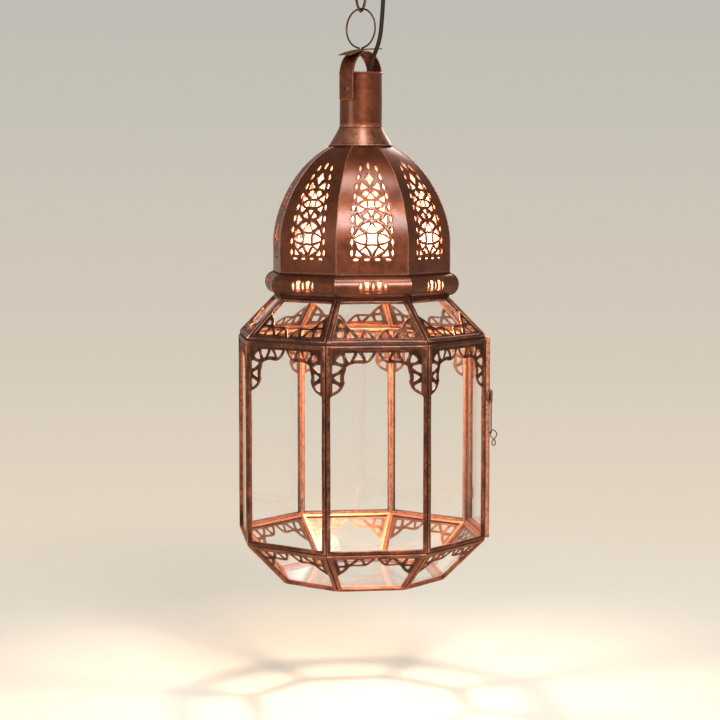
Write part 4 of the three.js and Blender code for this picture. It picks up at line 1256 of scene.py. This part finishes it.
def barrel(low, high):
    """An upright barrel with eased ends."""
    foot = [(1.4, 0.1), (BARREL_R - 0.4, 0), (BARREL_R, 0.4)]
    head = [(r, -z) for r, z in reversed(foot)]
    return on_hinge(moved(foot, 0, low) + moved(head, 0, high), 28, closed=True)


def leaf_rivet(across, up):
    points, faces = lathe([(0, 1.1), (0.7, 0.95), (1.25, 0.4), (1.35, 0)], 16)
    return at_door(points + (across, up, LEAF_FRONT - 0.1), faces)


def add_hinges():
    fixed = []
    hung = []
    for height in HINGE_HEIGHTS:
        low, high = height - KNUCKLE, height + KNUCKLE
        for end_low, end_high in ((high + 0.35, height + OUTER), (height - OUTER, low - 0.35)):
            fixed.append(barrel(end_low, end_high))
            fixed.append(door_box((52.2, end_low + 0.2, -2.9), (54.6, end_high - 0.2, 0.4), 0.3))
        hung.append(barrel(low, high))
        hung.append(door_box((48.4, low + 0.2, 1.5), (51.6, high - 0.2, 3.3), 0.3))
        hung.append(door_box((41.6, height - 6.2, 3.9), (50.2, height + 6.2, LEAF_FRONT), 0.35))
        hung.extend(leaf_rivet(43.6, height + up) for up in (-3.6, 3.6))
    build("hinge_posts", fixed, CAME_COPPER)
    build("hinge_leaves", hung, CAME_COPPER, body="door")
    for name, height in zip(("lower", "upper"), HINGE_HEIGHTS):
        pin = moved([(0, -1.2), (0.7, -1.1), (1, -0.7)], 0, height - OUTER)
        pin += moved([(1, 0.2), (1.7, 0.3), (1.9, 0.8), (1.5, 1.5), (0, 1.8)], 0, height + OUTER)
        build(f"hinge_pin_{name}", [on_hinge(pin, 24)], BRONZE, f"door_hinge_pin_{name}")


def add_door():
    front, back, lace_back = 3.75, 0.3, 3.3
    profile = bead(0.2, STILE - 0.2, front, 0.95, 11)
    profile += [(STILE, front - 0.35), (STILE - 0.15, lace_back), (STILE - 0.3, back), (0.15, back)]
    loop = came_loop(DOOR, DOOR_FACE, profile)
    build("door_came", [loop], CAME_COPPER, "door_frame", body="door")
    narrower = 0.965
    edge = [(x * narrower, depth) for x, depth in TALL_EDGE]
    openings = [([(x * narrower, depth) for x, depth in corners], bulges)
                for corners, bulges in TALL_OPENINGS]
    pattern = lace_pattern(DOOR, STILE, edge, openings, True)
    part = sheet_part(pattern, DOOR.on(DOOR_FACE), 4.0, 0.6)
    build("door_lace", [part], LACE_SHEET, body="door", sharp=CUT_SHARP)


def add_latch():
    """The latch: a bent bracket, the strap that hangs from it and the tab behind it."""
    floor = BODY.length
    height = 14.7
    block = [(0, 0), (0, height), (2.2, height), (3.4, 13.4), (3.6, 12.6), (3.6, 1.6), (3.2, 0.5), (2.4, 0)]
    left, right = CLIP_U - 4.8, CLIP_U + 3.5
    rows = []
    for inset, u in ((0.5, left), (0, left + 0.4), (0, right - 0.5), (0.6, right)):
        rows.extend((u, floor - 70.3 + min(max(up, inset), height - inset),
                     LATCH_BACK - 1.2 + max(out - inset, 0) * 1.02) for out, up in block)
    faces = grid_faces(4, len(block), wrap_columns=True)
    faces += [tuple(range(len(block))), tuple(3 * len(block) + i for i in range(len(block)))]
    outline = [(-2.2, 0.6), (-1.4, 0), (1.4, 0), (2.2, 0.6), (2.2, 33.4), (-2.2, 33.4)]
    strap = cutwork(curved(outline, 0.02, steps=8), [circle(2.6, 1.45, 1.45, 16)], 1.6)
    points, *kinds = sheet_part(strap, lambda u, t, h: np.stack([u, t, h + 0 * u], axis=-1), 0, 0.75, lip=0.5)
    points += (CLIP_U, floor - 102, LATCH_FRONT - 0.05)
    tab = door_box((left, floor - 67.3, 0.7), (left + 1.1, floor - 58.6, LATCH_BACK + 0.4), 0.25)
    parts = [at_door(rows, faces), at_door(points, *kinds), tab]
    build("latch", parts, [BRONZE] * 3, "latch_clip", body="door", sharp=32)


# The pull is one wire twisted into a figure of eight: distance out from the strap and drop
# below its hole, with how far the wire stands to the side where it crosses itself.
PULL = [(-1.0, 1.4, 0), (0.4, 0.2, 0), (2.2, -1.0, 0), (4.4, 0.6, 0), (6.2, 3.4, 0), (5.0, 6.6, 0.3),
        (3.2, 8.8, 0.75), (1.6, 10.6, 0.5), (1.0, 13.0, 0), (2.0, 15.2, 0), (3.8, 15.2, 0),
        (4.6, 13.2, 0), (4.2, 10.8, -0.5), (2.8, 8.8, -0.75), (0.6, 7.0, -0.3), (-0.6, 4.6, 0)]


def add_pull():
    top = BODY.length + PULL_Z
    points = [(CLIP_U + side, top - drop, LATCH_FRONT - 0.4 + out) for out, drop, side in PULL]
    wire = tube(smooth_path(points, 130, closed=True), 0.55, 12, closed=True)
    build("pull", [at_door(*wire)], BRONZE, "latch_pull_loop", body="pull")


add_door()
add_hinges()
add_latch()
add_pull()


# ---- Lamp ----

HOLDER_FOOT, HOLDER_HEAD = heights("lampholder")
BULB_R = 30
BULB_CENTRE = 87.5
HOLDER_FLOOR = 160
BRIDGE_Z = heights("holder_bridge")[0]
LAMP_POWER = 12
LAMP_COLOR = (1.0, 0.66, 0.42)


def add_holder():
    outer = [(14.7, 0.4), (15.2, 0), (18.5, 0), (19, 0.5)]
    for i in range(5):
        outer += moved([(18.9, 0), (19, 2.6), (18.3, 3.2), (18.3, 4.2)], 0, 3 + 5 * i)
    top = [(18.9, -15), (16.4, -8.6), (12.5, -5), (10, -3.6), (8.4, -0.6), (7.6, 0), (2.6, 0), (2.6, -1.2),
           (0, -1.2)]
    inner = moved([(0, 0), (14.4, 0), (14.7, -0.4)], 0, HOLDER_FLOOR)
    shell = inner + moved(outer, 0, HOLDER_FOOT) + moved(top, 0, HOLDER_HEAD)
    build("holder", [lathe(shell, 56)], CERAMIC, "lampholder")


def add_bulb():
    cap = [(0, 0.2), (13, 0.2)]
    for i in range(5):
        cap += moved([(12.4, 0), (13.1, 1), (13.2, 1.7), (13, 2.4)], 0, 1.5 + 3.4 * i)
    cap += [(12.3, 19), (8.4, 22.2), (5.2, 22.6), (4.6, 23.6), (0, 23.9)]
    build("cap", [lathe(moved(cap, 0, HOLDER_FOOT), 48)], CAP, "bulb_cap", body="bulb")
    globe = arc((0, BULB_CENTRE), BULB_R, BULB_R, -math.pi / 2, 0.16 * math.pi, 26)
    neck = [globe[-1], (23.2, 107.5), (18.4, 116.5), (14.2, 126), (12.8, HOLDER_FOOT - 0.3)]
    shell = globe + [tuple(p) for p in smooth_path(neck, 14)[1:]]
    lining = [(max(0, r - 1), z + (1 if z < BULB_CENTRE else 0)) for r, z in reversed(shell)]
    opal = build("globe", [lathe(shell + lining, 56)], OPAL, "bulb_glass", body="bulb")
    opal.visible_shadow = False


def add_glow():
    data = bpy.data.lights.new("lamp", "POINT")
    data.shadow_soft_size = BULB_R * MM
    data.energy = LAMP_POWER
    data.color = LAMP_COLOR
    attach(add_object("lamp", data, to_row((0, 0, BULB_CENTRE))), "bulb")


def add_bridge():
    bridge = rounded_box((-44, -7, BRIDGE_Z), (44, 7, BRIDGE_Z + 1.5), 0.4)
    nut = [(2.8, 1.5), (6, 1.5), (6.4, 1.9), (6.4, 4.2), (6, 4.6), (2.8, 4.6)]
    parts = [bridge, lathe(moved(nut, 0, BRIDGE_Z), 6, closed=True)]
    build("bridge", parts, CAME_COPPER, "holder_bridge")


add_holder()
add_bulb()
add_glow()
add_bridge()


# ---- Panes ----

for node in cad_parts.values():
    if "pane" in node.name.split("_"):
        for slot in node.material_slots:
            slot.material = GLASS


# ---- Studio ----

FLOOR_Z = BASE_FOOT * MM + EAVE_Z - 0.14
FLOOR_HALF = 3
# The backdrop's colours from the nadir to the zenith.
SKY = [(0.0, (1.05, 0.87, 0.68)), (0.30, (0.98, 0.83, 0.65)), (0.37, (0.90, 0.77, 0.60)),
       (0.455, (0.68, 0.60, 0.50)), (0.545, (0.52, 0.51, 0.46)), (0.72, (0.36, 0.36, 0.34)),
       (1.0, (0.20, 0.20, 0.20))]
# Each light's place, its height above the eave, size, power and colour.
LIGHTS = {"key": (0.26, -1.95, 1.1, 0.7, 46, (1.0, 0.95, 0.90)),
          "top": (0.12, -0.95, 2.0, 0.7, 22, (1.0, 0.96, 0.92)),
          "fill": (-1.9, -1.0, 0.5, 0.9, 10, (0.96, 0.98, 1.0)),
          "rim": (0.9, 1.8, 1.0, 1.0, 16, (1.0, 0.98, 0.95))}


def add_floor():
    """A pale floor that fades out into the backdrop."""
    n = Nodes("studio_floor")
    n.set(Base_Color=(0.70, 0.67, 0.61, 1), Roughness=0.8)
    gradient = n.node("TexGradient", Vector=n.stretched((0.7, 0.7, 0.7)))
    gradient.gradient_type = "SPHERICAL"
    n.set(Alpha=n.ramp(gradient.outputs["Fac"], (0.1, 0.0), (0.85, 1.0)))
    mesh = bpy.data.meshes.new("studio_floor")
    corners = [(x * FLOOR_HALF, y * FLOOR_HALF, 0) for x, y in ((-1, -1), (1, -1), (1, 1), (-1, 1))]
    mesh.from_pydata(corners, [], [(0, 1, 2, 3)])
    mesh.materials.append(n.owner)
    add_object("studio_floor", mesh, (0, 0, FLOOR_Z))


def add_light(name, x, y, climb, size, power, color):
    data = bpy.data.lights.new(name, "AREA")
    data.shape = "DISK"
    data.size = size
    data.energy = power
    data.color = color
    place = Vector((x, y, EAVE_Z + climb))
    add_object(name, data, place, Vector((0, 0, EAVE_Z)) - place)


def add_world():
    """A pale studio: warm below the horizon, and cooler and dimmer towards the zenith."""
    n = Nodes("studio", bpy.data.worlds, "Background", "Generated")
    up = n.node("SeparateXYZ", Vector=n.coords).outputs["Z"]
    height = n.node("MapRange", Value=up, From_Min=-1).outputs["Result"]
    n.set(Color=n.ramp(height, *SKY))
    scene.world = n.owner


add_floor()
add_world()
for name, light in LIGHTS.items():
    add_light(name, *light)
scene.view_settings.view_transform = "Standard"


# ---- Finish ----

bpy.context.view_layer.update()
